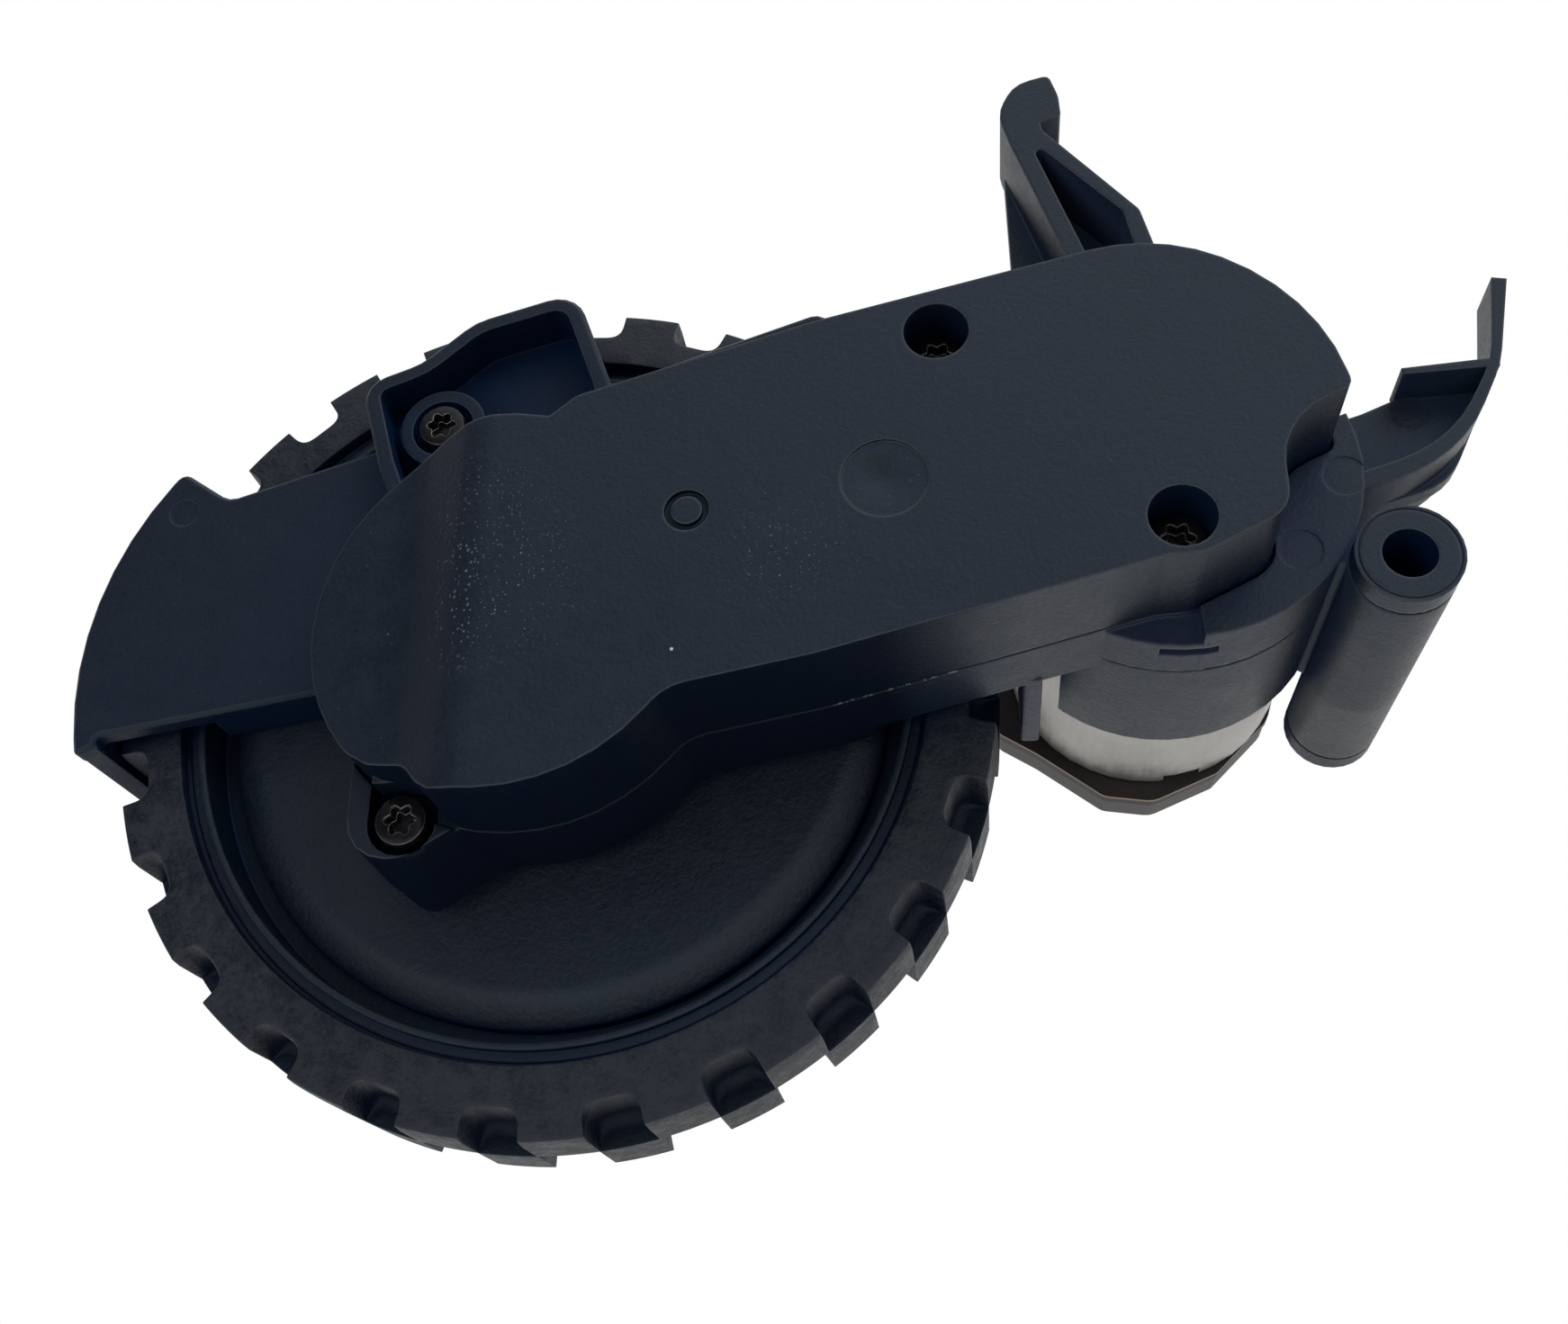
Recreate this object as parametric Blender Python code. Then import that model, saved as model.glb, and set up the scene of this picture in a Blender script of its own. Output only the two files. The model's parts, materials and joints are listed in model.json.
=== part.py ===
# Drive wheel module of a robot vacuum: gearbox with its motor, wheel, mudguard and pivot arm.
# Metres. It is drawn about the wheel's centre on the tyre's front plane, with X along the gearbox,
# +Y along the axle away from the gearbox cover and +Z up. The last lines carry it to the pivot's end.
import math

import bmesh
import bpy
from mathutils import Vector

for old in list(bpy.data.objects):
    bpy.data.objects.remove(old, do_unlink=True)

# Gaps between pieces
SEAM = 0.0003
FIT = 0.0001
BACKLASH = 0.00012

# Wheel
TYRE_RADIUS = 0.0350
TYRE_WIDTH = 0.0116
TYRE_SECTION = 0.0054
TYRE_BULGE = 0.0007
TREAD_DEPTH = 0.0024
TREAD_BLOCKS = 24
TREAD_PHASE = 3.4
BLOCK_SHARE = 0.51
HUB_RIM_WIDTH = 0.0110
HUB_DISC_DEPTH = 0.0016
HUB_RIM_BAND = 0.0053
HUB_DISC_THICKNESS = 0.0022
HUB_GROOVE_DEPTH = 0.0040
HUB_BOSS_RADIUS = 0.0062
HUB_BOSS_LENGTH = 0.0092
HUB_RIBS = 8
RIB_THICKNESS = 0.0012

# Heights of the axes over the wheel's axis, and how far along to the motor the three pins stand
PIN_HEIGHTS = (0.0052, 0.0070, 0.0109)
PIN_SHARES = (0.2816, 0.5673, 0.8033)
MOTOR_HEIGHT = 0.0110
PIVOT_BEARING = math.radians(-30.28)
PIVOT_GAP = 0.0002

# Gearbox shell
WALL = 0.0014
COVER_DEPTH = 0.0094
HOUSING_DEPTH = 0.0060
HOUSING_GAP = 0.0020
FOOT_DEPTH = 0.0016
FOOT_RADIUS = 0.0261
EDGE_ROUNDING = 0.0004
FACET_SAG = 0.00004
END_RADIUS = 0.0144

# Gear train
PIN_RADIUS = 0.0010
PIN_BOSS_RADIUS = 0.0022
WHEEL_FACE = 0.0020
LAYER_GAP = 0.0004
OUTPUT_FACE = 0.0036
SHAFT_RADIUS = 0.0021
BUSH_WALL = 0.0011
BUSH_LENGTH = 0.0030
HEX_SIZE = 0.0058

# Motor
CAN_RADIUS = 0.0120
CAN_LENGTH = 0.0254
CAN_BOSS_RADIUS = 0.0034
MOTOR_SHAFT_RADIUS = 0.0010
BOARD_THICKNESS = 0.0012
CAP_DEPTH = 0.0028
MAGNET_RADIUS = 0.0032
SHROUD_WALL = 0.0010
SHROUD_LENGTH = 0.0125
CRESCENT_HEIGHT = 0.0072
MOTOR_SCREW_INSET = 0.0040

# Pivot, arms and mudguard
PIVOT_RADIUS = 0.00375
PIVOT_BORE = 0.0019
PIVOT_LENGTH = 0.0320
PIVOT_FRONT = 0.0115
BUSH_FLANGE = 0.0019
ARM_DEPTH = 0.0075
ARM_BACK = 0.0005
ARM_WALL = 0.0013
ARM_FLOOR = 0.0015
ARM_RECESS = 0.0036
TAB_DEPTH = 0.0043
GUARD_THICKNESS = 0.0016
GUARD_SETBACK = 0.0014
GUARD_LUG_DEPTH = 0.0023
GUARD_WRAP = 0.0154
GUARD_CLEARANCE = 0.00085
GUARD_OFFSET = 0.00875
GUARD_CENTRE_HEIGHT = 0.0017
GUARD_LIP = 0.00015
EAR_HEIGHT = 0.0041
EAR_WALL = 0.0013

# Screws
HEAD_RADIUS = 0.0019
HEAD_HEIGHT = 0.0016
SHANK_RADIUS = 0.0010
SCREW_LENGTH = 0.0080
SCREW_BOSS_RADIUS = 0.0025
HEAD_BORE_RADIUS = 0.00235
HEAD_BORE_DEPTH = 0.0052

# Axes as (x, z); the motor's shroud stands just clear of the tyre
SHROUD_RADIUS = CAN_RADIUS + SEAM + SHROUD_WALL
WHEEL = (0.0, 0.0)
MOTOR = (TYRE_RADIUS + SHROUD_RADIUS, MOTOR_HEIGHT)
PIN_1, PIN_2, PIN_3 = [(share * MOTOR[0], height) for share, height in zip(PIN_SHARES, PIN_HEIGHTS)]
PIVOT_REACH = SHROUD_RADIUS + PIVOT_GAP + PIVOT_RADIUS
PIVOT = (MOTOR[0] + PIVOT_REACH * math.cos(PIVOT_BEARING), MOTOR[1] + PIVOT_REACH * math.sin(PIVOT_BEARING))
TYRE_SEAT_RADIUS = TYRE_RADIUS - TYRE_SECTION

# Planes across the axle, as y
HOUSING_BACK = -HOUSING_GAP
FOOT_BACK = HOUSING_BACK + FOOT_DEPTH
PARTING = HOUSING_BACK - HOUSING_DEPTH
COVER_RIM = PARTING - SEAM
COVER_FACE = PARTING - COVER_DEPTH
FLOOR = HOUSING_BACK - WALL
FOOT_FLOOR = FOOT_BACK - WALL
ROOF = COVER_FACE + WALL
GUARD_FRONT = HOUSING_BACK - GUARD_SETBACK
GUARD_BACK = GUARD_FRONT + GUARD_THICKNESS


def facets(radius, sweep):
    # Enough straight pieces that none leaves the arc by more than the sag
    step = 2 * math.acos(1 - min(0.08, FACET_SAG / max(radius, 1e-6)))
    return max(2, math.ceil(abs(sweep) / step))


def turn_of(before, corner, after):
    a = Vector(corner[:2]) - Vector(before[:2])
    b = Vector(after[:2]) - Vector(corner[:2])
    return math.atan2(a.x * b.y - a.y * b.x, a.dot(b))


def neighbours(corners):
    count = len(corners)
    return [(corners[i - 1], corners[i], corners[(i + 1) % count]) for i in range(count)]


def turn_at(corners, corner):
    i = corners.index(corner)
    return turn_of(corners[i - 1], corner, corners[(i + 1) % len(corners)])


def rounded(corners, closed=True, steps=0):
    # Each corner is (x, z, radius); its point becomes an arc that is tangent to both edges.
    points = []
    for before, corner, after in neighbours(corners):
        here = Vector(corner[:2])
        edge_in = Vector(before[:2]) - here
        edge_out = Vector(after[:2]) - here
        turn = turn_of(before, corner, after)
        end = not closed and (corner is corners[0] or corner is corners[-1])
        if corner[2] == 0 or end or abs(turn) < 0.01:
            points.append(tuple(here))
            continue
        radius = corner[2]
        for edge, other in ((edge_in, before), (edge_out, after)):
            share = 0.5 if other[2] else 0.98
            if other[2]:
                reach = radius * math.tan(abs(turn) / 2)
                other_reach = other[2] * math.tan(abs(turn_at(corners, other)) / 2)
                share = reach / (reach + other_reach + 1e-9)
            radius = min(radius, 0.995 * share * edge.length / math.tan(abs(turn) / 2))
        reach = radius * math.tan(abs(turn) / 2)
        start = here + edge_in.normalized() * reach
        centre = start + Vector((edge_in.y, -edge_in.x)).normalized() * math.copysign(radius, turn)
        arm = start - centre
        count = steps or facets(radius, turn)
        for i in range(count + 1):
            angle = turn * i / count
            spin = Vector((arm.x * math.cos(angle) - arm.y * math.sin(angle),
                           arm.x * math.sin(angle) + arm.y * math.cos(angle)))
            points.append(tuple(centre + spin))
    return points


def inset(corners, distance):
    # Moves every edge inwards and keeps the arcs' centres; a negative distance goes outwards.
    moved = []
    for before, corner, after in neighbours(corners):
        here = Vector(corner[:2])
        a = (here - Vector(before[:2])).normalized()
        b = (Vector(after[:2]) - here).normalized()
        turn = turn_of(before, corner, after)
        bisector = Vector((-a.y - b.y, a.x + b.x)).normalized()
        spot = here + bisector * distance / max(math.cos(turn / 2), 0.3)
        radius = corner[2] - distance if turn > 0 else corner[2] + distance
        moved.append((spot.x, spot.y, max(radius, 0.0002) if corner[2] else 0))
    return moved


def around(centre, corners):
    return [(centre[0] + x, centre[1] + z, radius) for x, z, radius in corners]


def circle(centre, radius, start=0.0, end=360.0, count=0):
    sweep = math.radians(end - start)
    count = count or facets(radius, sweep)
    stop = count if abs(end - start) >= 360 else count + 1
    angles = [math.radians(start) + sweep * i / count for i in range(stop)]
    return [(centre[0] + radius * math.cos(a), centre[1] + radius * math.sin(a)) for a in angles]


def settle(bm):
    # Only faces that are truly flat stay polygons, so that Booleans meet no warped ones.
    for vert in bm.verts:
        vert.co = [round(value, 8) for value in vert.co]
    bm.normal_update()
    warped = [face for face in bm.faces if abs(face.normal.y) < 0.99999
              and (len(face.verts) > 4 or (len(face.verts) == 4 and abs(face.normal.y) > 1e-5))]
    bmesh.ops.triangulate(bm, faces=warped)


def add(name, bm, location=(0.0, 0.0, 0.0)):
    bmesh.ops.recalc_face_normals(bm, faces=bm.faces)
    settle(bm)
    mesh = bpy.data.meshes.new(name)
    bm.to_mesh(mesh)
    bm.free()
    thing = bpy.data.objects.new(name, mesh)
    thing.location = location
    bpy.context.scene.collection.objects.link(thing)
    bpy.context.view_layer.update()
    return thing


def prism(name, outline, front, back, far_outline=None, at=None):
    bm = bmesh.new()
    near = [bm.verts.new((x, front, z)) for x, z in outline]
    far = [bm.verts.new((x, back, z)) for x, z in far_outline or outline]
    bm.faces.new(near)
    bm.faces.new(list(reversed(far)))
    for i in range(len(near)):
        bm.faces.new((near[i - 1], near[i], far[i], far[i - 1]))
    return add(name, bm, (at[0], 0.0, at[1]) if at else (0.0, 0.0, 0.0))


def turned(name, axis, profile, count=24):
    # The profile is a closed loop of (radius, y).
    bm = bmesh.new()
    verts = [bm.verts.new((radius, y, 0.0)) for radius, y in profile]
    edges = []
    for i in range(len(verts)):
        if profile[i - 1][0] > 0 or profile[i][0] > 0:
            edges.append(bm.edges.new((verts[i - 1], verts[i])))
    bmesh.ops.spin(bm, geom=verts + edges, cent=(0, 0, 0), axis=(0, 1, 0), angle=math.tau, steps=count,
                   use_merge=True)
    bmesh.ops.remove_doubles(bm, verts=bm.verts, dist=1e-6)
    return add(name, bm, (axis[0], 0.0, axis[1]))


def disc(name, axis, radius, front, back, count=24):
    return turned(name, axis, [(0, front), (radius, front), (radius, back), (0, back)], count)


def combine(target, tools, operation):
    for tool in tools:
        modifier = target.modifiers.new("shape", "BOOLEAN")
        modifier.operation = operation
        modifier.solver = "EXACT"
        modifier.object = tool
        bpy.context.view_layer.update()
        graph = bpy.context.evaluated_depsgraph_get()
        mesh = bpy.data.meshes.new_from_object(target.evaluated_get(graph))
        target.modifiers.clear()
        bm = bmesh.new()
        bm.from_mesh(mesh)
        bmesh.ops.remove_doubles(bm, verts=bm.verts, dist=5e-7)
        bmesh.ops.dissolve_degenerate(bm, edges=bm.edges, dist=2e-7)
        settle(bm)
        bm.to_mesh(mesh)
        bm.free()
        target.data = mesh
        bpy.data.objects.remove(tool, do_unlink=True)
    return target


def join(target, *tools):
    return combine(target, tools, "UNION")


def cut(target, *tools):
    return combine(target, tools, "DIFFERENCE")


def keep(target, *tools):
    return combine(target, tools, "INTERSECT")


def soften(thing, width, segments=2):
    # Rounds the edges between a face that looks to the front and a side wall.
    bm = bmesh.new()
    bm.from_mesh(thing.data)
    edges = []
    for edge in bm.edges:
        if len(edge.link_faces) == 2:
            slopes = sorted(face.normal.y for face in edge.link_faces)
            if slopes[0] < -0.6 and abs(slopes[1]) < 0.2:
                edges.append(edge)
    bmesh.ops.bevel(bm, geom=edges, offset=width, segments=segments, profile=0.5, affect="EDGES",
                    clamp_overlap=True)
    settle(bm)
    bm.to_mesh(thing.data)
    bm.free()
    return thing


def finish(thing, name, colour, roughness, metallic=0.0):
    material = bpy.data.materials.get(name) or bpy.data.materials.new(name)
    material.use_nodes = True
    shader = material.node_tree.nodes["Principled BSDF"]
    shader.inputs["Base Color"].default_value = (*colour, 1.0)
    shader.inputs["Roughness"].default_value = roughness
    shader.inputs["Metallic"].default_value = metallic
    material.diffuse_color = (*colour, 1.0)
    thing.data.materials.clear()
    thing.data.materials.append(material)
    bm = bmesh.new()
    bm.from_mesh(thing.data)
    bmesh.ops.remove_doubles(bm, verts=bm.verts, dist=2e-6)
    bmesh.ops.dissolve_degenerate(bm, edges=bm.edges, dist=1e-6)
    bmesh.ops.dissolve_limit(bm, angle_limit=math.radians(0.3), verts=bm.verts, edges=bm.edges)
    bm.to_mesh(thing.data)
    bm.free()
    thing.data.shade_smooth()
    thing.data.set_sharp_from_angle(angle=math.radians(32))
    return thing


def shell_plastic(thing):
    return finish(thing, thing.name, (0.020, 0.023, 0.030), 0.48)


# Outline of the gearbox, shared by the cover and the housing

def gearbox_outline():
    end = END_RADIUS
    left = around(WHEEL, [
        (-end - 0.0002, -end - 0.0004, end),
        (0.0069, -end - 0.0004, end + 0.0002),
        (0.0125, -0.0081, 0.004),
    ])
    belly = around(PIN_2, [(-0.0049, -0.01315, 0.020)])
    right = around(MOTOR, [
        (-0.0023, -0.0110, 0.002),
        (0.0003, -0.01085, 0.0015),
        (0.00614, -0.00795, 0.0025),
        (0.00614, -0.00077, 0.00566),
        (0.01128, 0.00141, 0.0007),
        (0.00961, 0.00924, 0.0156),
        (-0.00084, 0.01527, 0.0128),
    ])
    top = around(PIN_2, [(-0.0052, 0.0133, 0.030)])
    notch = around(WHEEL, [
        (0.0052, 0.01515, 0.0015),
        (0.0033, 0.01353, 0.0004),
        (-end - 0.0002, end + 0.00325, end),
    ])
    return left + belly + right + top + notch


OUTLINE = gearbox_outline()
RAMP = [(-0.0200, 0.0060, 0), (-0.0076, 0.00385, 0.009), (-0.0021, 0.0, 0.0050), (0.0010, 0.0, 0)]


def vaulted(name, outline, rim, face, shift=0.0):
    # A prism whose front drops in an S at its left end.
    fall = [(x + shift, face + depth) for x, depth in rounded(RAMP, closed=False, steps=5)]
    thing = prism(name, outline, face, rim)
    bm = bmesh.new()
    bm.from_mesh(thing.data)
    for x, depth in fall[1:-1]:
        bmesh.ops.bisect_plane(bm, geom=bm.verts[:] + bm.edges[:] + bm.faces[:], plane_co=(x, 0, 0),
                               plane_no=(1, 0, 0))
    for vert in bm.verts:
        if abs(vert.co.y - face) < 1e-6:
            for (x0, y0), (x1, y1) in zip(fall, fall[1:]):
                if x0 - 1e-7 <= vert.co.x <= x1 + 1e-7:
                    vert.co.y = y0 + (y1 - y0) * (vert.co.x - x0) / (x1 - x0)
                    break
    settle(bm)
    bm.to_mesh(thing.data)
    bm.free()
    return thing


# Gears

def pair_module(centre_a, teeth_a, centre_b, teeth_b):
    return 2 * math.dist(centre_a, centre_b) / (teeth_a + teeth_b)


def half_angle(module, teeth, radius):
    pitch = module * teeth / 2
    base = pitch * math.cos(math.radians(20))

    def involute(r):
        pressure = math.acos(min(1.0, base / r))
        return math.tan(pressure) - pressure

    return math.pi / (2 * teeth) - BACKLASH / (2 * pitch) + involute(pitch) - involute(max(radius, base))


def gear_outline(module, teeth, phase):
    pitch = module * teeth / 2
    root = pitch - 1.25 * module
    tip = pitch + 0.9 * module
    radii = (root, pitch - 0.15 * module, tip) if teeth > 20 else (root, pitch, tip)
    points = []
    for tooth in range(teeth):
        middle = phase + math.tau * tooth / teeth
        angles = [half_angle(module, teeth, radius) for radius in radii]
        angles[0] *= 1.12 if teeth > 20 else 0.95
        for radius, angle in list(zip(radii, angles)) + list(zip(radii, angles))[::-1]:
            side = -1 if len(points) % 6 < 3 else 1
            points.append((radius * math.cos(middle + side * angle), radius * math.sin(middle + side * angle)))
    return points


def meshing_phase(centre_a, teeth_a, phase_a, centre_b, teeth_b):
    bearing = math.atan2(centre_b[1] - centre_a[1], centre_b[0] - centre_a[0])
    pitch_a = math.tau / teeth_a
    offset = (phase_a - bearing + pitch_a / 2) % pitch_a - pitch_a / 2
    return bearing + math.pi - offset * teeth_a / teeth_b + math.pi / teeth_b


def gear(name, axis, module, teeth, phase, front, back):
    return prism(name, gear_outline(module, teeth, phase), front, back, at=axis)


OUTPUT_TEETH = 26
TEETH_1 = (27, 10)
TEETH_2 = (29, 13)
TEETH_3 = (28, 11)
MOTOR_TEETH = 12
MODULE_1 = pair_module(WHEEL, OUTPUT_TEETH, PIN_1, TEETH_1[1])
MODULE_2 = pair_module(PIN_1, TEETH_1[0], PIN_2, TEETH_2[1])
MODULE_3 = pair_module(PIN_2, TEETH_2[0], PIN_3, TEETH_3[1])
MODULE_4 = pair_module(PIN_3, TEETH_3[0], MOTOR, MOTOR_TEETH)

OUTPUT_BACK = FOOT_FLOOR - LAYER_GAP
OUTPUT_FRONT = OUTPUT_BACK - OUTPUT_FACE
LAYER_1 = OUTPUT_FRONT - LAYER_GAP
LAYER_2 = LAYER_1 - WHEEL_FACE - LAYER_GAP
LAYER_3 = LAYER_2 - WHEEL_FACE - LAYER_GAP
HOLES = [(MOTOR[0] + x, MOTOR[1] + z) for x, z in ((-0.0170, 0.0079), (-0.0010, -0.0081))]
EAR_SCREW = (-0.0078, -0.0139)
GUARD_SCREW = (-0.0086, 0.0203)

# Cover

cover = vaulted("gearbox_cover", rounded(OUTLINE), COVER_RIM, COVER_FACE)
head_room = HEAD_RADIUS + SEAM
relief = around(EAR_SCREW, [
    (-0.0046, -0.0040, 0), (0.0045, -0.0040, 0), (0.0045, -0.0006, 0), (head_room + 0.0010, 0.0003, 0.002),
    (head_room - 0.0003, head_room - 0.0003, 0.002), (-0.0012, head_room + 0.00035, 0.001), (-0.0046, 0.0046, 0)])
cut(cover, prism("relief", rounded(relief), COVER_FACE - 0.001, COVER_RIM + 0.001))
soften(cover, EDGE_ROUNDING)
bosses = disc("boss", WHEEL, SHAFT_RADIUS + BUSH_WALL + WALL, COVER_FACE, LAYER_3 - 0.0002)
pin_fronts = (LAYER_1 - WHEEL_FACE - SEAM, LAYER_2 - WHEEL_FACE - SEAM, LAYER_3 - WHEEL_FACE - SEAM)
for axis, front in zip((PIN_1, PIN_2, PIN_3), pin_fronts):
    join(bosses, disc("boss", axis, PIN_BOSS_RADIUS, COVER_FACE, front, 16))
for axis in HOLES:
    join(bosses, disc("boss", axis, HEAD_BORE_RADIUS + 0.0010, COVER_FACE, COVER_FACE + HEAD_BORE_DEPTH + WALL, 24))
    join(bosses, disc("boss", axis, SCREW_BOSS_RADIUS, COVER_FACE, COVER_RIM - 0.0002, 24))
keep(bosses, vaulted("reach", rounded(inset(OUTLINE, WALL / 2)), COVER_RIM + 0.001, COVER_FACE + WALL / 2, 0.0001))
cut(cover, vaulted("cavity", rounded(inset(OUTLINE, WALL)), COVER_RIM + 0.001, ROOF, 0.0003))
join(cover, bosses)
for axis in HOLES:
    cut(cover, disc("bore", axis, HEAD_BORE_RADIUS, COVER_FACE - 0.001, COVER_FACE + HEAD_BORE_DEPTH, 32),
        disc("bore", axis, SHANK_RADIUS + SEAM, COVER_FACE, COVER_RIM + 0.001, 16))
for axis, front in zip((PIN_1, PIN_2, PIN_3), pin_fronts):
    cut(cover, disc("bore", axis, PIN_RADIUS + FIT, ROOF, front + 0.001, 16))
BUSH_FRONT = LAYER_3 - 0.0002 - BUSH_LENGTH
cut(cover, disc("bore", WHEEL, SHAFT_RADIUS + BUSH_WALL + FIT, BUSH_FRONT - SEAM, LAYER_3 + 0.001))
cut(cover, disc("mark", PIN_2, 0.00307, COVER_FACE - 0.001, COVER_FACE + 0.00018))
cut(cover, turned("mark", PIN_1, [(0.0011, COVER_FACE - 0.001), (0.0016, COVER_FACE - 0.001),
                                  (0.0016, COVER_FACE + 0.0004), (0.0011, COVER_FACE + 0.0004)], 24))

# Lug of the cover for the screw in the ear, and the ear of the housing around it
LUG_FRONT = PARTING + 0.0010
LUG_BACK = LUG_FRONT + 0.0013
lug_outline = around(EAR_SCREW, [(-0.0022, 0.0034, 0), (-0.0022, -0.0022, 0.0021), (0.0022, -0.0022, 0.0021),
                                 (0.0022, 0.0034, 0)])
lug = prism("lug", rounded(lug_outline), LUG_FRONT, LUG_BACK)
web_outline = around(EAR_SCREW, [(-0.0018, 0.0034, 0), (-0.0018, 0.0023, 0), (0.0018, 0.0023, 0), (0.0018, 0.0034, 0)])
join(lug, prism("web", rounded(web_outline), COVER_RIM - 0.002, LUG_BACK - 0.0001))
cut(lug, disc("bore", EAR_SCREW, SHANK_RADIUS + SEAM, LUG_FRONT - 0.001, LUG_BACK + 0.001, 16))
join(cover, lug)
shell_plastic(cover)

# Housing

housing = prism("gearbox_housing", rounded(OUTLINE), PARTING, HOUSING_BACK)
foot = prism("foot", rounded(OUTLINE), HOUSING_BACK - 0.001, FOOT_BACK)
keep(foot, disc("reach", WHEEL, FOOT_RADIUS, HOUSING_BACK - 0.002, FOOT_BACK + 0.001, 48))
ear_rim = around(EAR_SCREW, [(-0.0041, 0.0049, 0), (-0.0040, -0.0027, 0.0030), (0.0004, -0.0027, 0.0040),
                             (0.0063, 0.0010, 0), (0.0040, 0.0049, 0)])
ear_base = around(EAR_SCREW, [(-0.0066, 0.0023, 0), (-0.0036, -0.0018, 0.0040), (0.0003, -0.0047, 0.0018),
                              (0.0060, -0.0009, 0), (0.0040, 0.0049, 0)])
ear = prism("ear", rounded(ear_rim, steps=4), PARTING - 0.0005, FOOT_BACK - 0.0001, rounded(ear_base, steps=4))
tower = disc("tower", PIVOT, PIVOT_RADIUS, -PIVOT_FRONT + BUSH_FLANGE + SEAM,
             PIVOT_LENGTH - PIVOT_FRONT - BUSH_FLANGE - SEAM, 36)
shroud = disc("shroud", MOTOR, SHROUD_RADIUS, HOUSING_BACK - 0.001, HOUSING_BACK + SHROUD_LENGTH, 48)
crescent = prism("crescent", [MOTOR] + circle(MOTOR, SHROUD_RADIUS, -86, 18.4), HOUSING_BACK - CRESCENT_HEIGHT,
                 HOUSING_BACK - 0.0013)
skirt = prism("skirt", [MOTOR] + circle(MOTOR, SHROUD_RADIUS, -130, -84), PARTING + 0.0004, HOUSING_BACK - 0.0012)
toward = (Vector(PIVOT) - Vector(MOTOR)).normalized()
side = Vector((-toward.y, toward.x)) * 0.0014
start = Vector(MOTOR) + toward * (SHROUD_RADIUS - SHROUD_WALL / 2)
stop = Vector(PIVOT) - toward * (PIVOT_RADIUS * 0.6)
web = prism("web", [tuple(start - side), tuple(stop - side), tuple(stop + side), tuple(start + side)],
            HOUSING_BACK - CRESCENT_HEIGHT + 0.0002, HOUSING_BACK + SHROUD_LENGTH - 0.0005)
post = prism("post", rounded(around(MOTOR, [(-0.0117, -0.0133, 0.0003), (-0.0102, -0.0133, 0.0003),
                                            (-0.0102, -0.0090, 0), (-0.0117, -0.0090, 0)])),
             HOUSING_BACK - 0.0005, HOUSING_BACK + 0.0116)
guard_lug = prism("lug", rounded(around(GUARD_SCREW, [(-0.0030, -0.0140, 0), (0.0050, -0.0140, 0),
                                                      (0.0035, 0.0035, 0.0034), (-0.0035, 0.0035, 0.0034)])),
                  GUARD_BACK + SEAM, GUARD_BACK + GUARD_LUG_DEPTH)

# Curved arm: a floor plate with a wall along its outer curve, a ledge across and a tab at its end
ARM_FRONT = -ARM_BACK - ARM_DEPTH
arm_curve = around(MOTOR, [(0.0118, -0.0020, 0), (0.0206, 0.0006, 0.012), (0.0246, 0.0086, 0.010), (0.0262, 0.0161, 0)])
arm_inner = [(0.0251, 0.0163, 0), (0.0240, 0.0090, 0.0085), (0.0200, 0.0020, 0.0105), (0.0118, -0.0006, 0)]
arm_wall = arm_curve + around(MOTOR, arm_inner)
arm = prism("arm", rounded(arm_wall), ARM_FRONT, -ARM_BACK)
arm_floor = arm_curve[:3] + around(MOTOR, [(0.0242, 0.0086, 0), (0.0178, 0.0082, 0), (0.0150, 0.0070, 0),
                                           (0.0125, 0.0062, 0)])
ledge = around(MOTOR, [(0.0175, 0.0081, 0), (0.0245, 0.0084, 0), (0.0245, 0.0091, 0), (0.0174, 0.0086, 0)])
behind_tab = around(MOTOR, [(0.0180, 0.0093, 0), (0.0300, 0.0085, 0), (0.0300, 0.0200, 0), (0.0180, 0.0200, 0)])
floor_front = ARM_FRONT + ARM_RECESS
join(arm, prism("floor", rounded(arm_floor), floor_front, floor_front + ARM_FLOOR),
     prism("ledge", rounded(ledge), ARM_FRONT, floor_front + ARM_FLOOR / 2))
cut(arm, prism("behind tab", rounded(behind_tab), ARM_FRONT + TAB_DEPTH, 0.001))

# Hook arm: a triangular frame over a back plate, with the hook at its top
hook_frame = around(MOTOR, [
    (-0.0038, 0.0125, 0), (0.0015, 0.0125, 0), (0.0002, 0.0217, 0.001), (-0.0006, 0.0250, 0.0012),
    (-0.0078, 0.0337, 0.0008), (-0.0080, 0.0346, 0.0002), (-0.0062, 0.0351, 0.0004), (-0.0063, 0.0372, 0.0030),
    (-0.0070, 0.0395, 0.0005), (-0.0099, 0.0388, 0.0028), (-0.0114, 0.0358, 0.0032), (-0.0105, 0.0325, 0.008)])
hook = prism("hook", rounded(hook_frame), ARM_FRONT, -ARM_BACK)
pocket = around(MOTOR, [(-0.0026, 0.0136, 0), (0.0004, 0.0136, 0), (-0.0013, 0.0218, 0.0005),
                        (-0.0019, 0.0250, 0.0006), (-0.0079, 0.0318, 0.0004), (-0.0086, 0.0316, 0.0004)])
cut(hook, prism("pocket", rounded(pocket), ARM_FRONT - 0.001, -ARM_BACK - ARM_FLOOR))
plate = around(MOTOR, [(-0.0105, 0.0115, 0), (0.0005, 0.0115, 0), (-0.0060, 0.0300, 0), (-0.0095, 0.0350, 0),
                       (-0.0109, 0.0350, 0)])
join(hook, prism("plate", rounded(plate), -ARM_BACK - ARM_FLOOR - 0.0001, -ARM_BACK))

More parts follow.
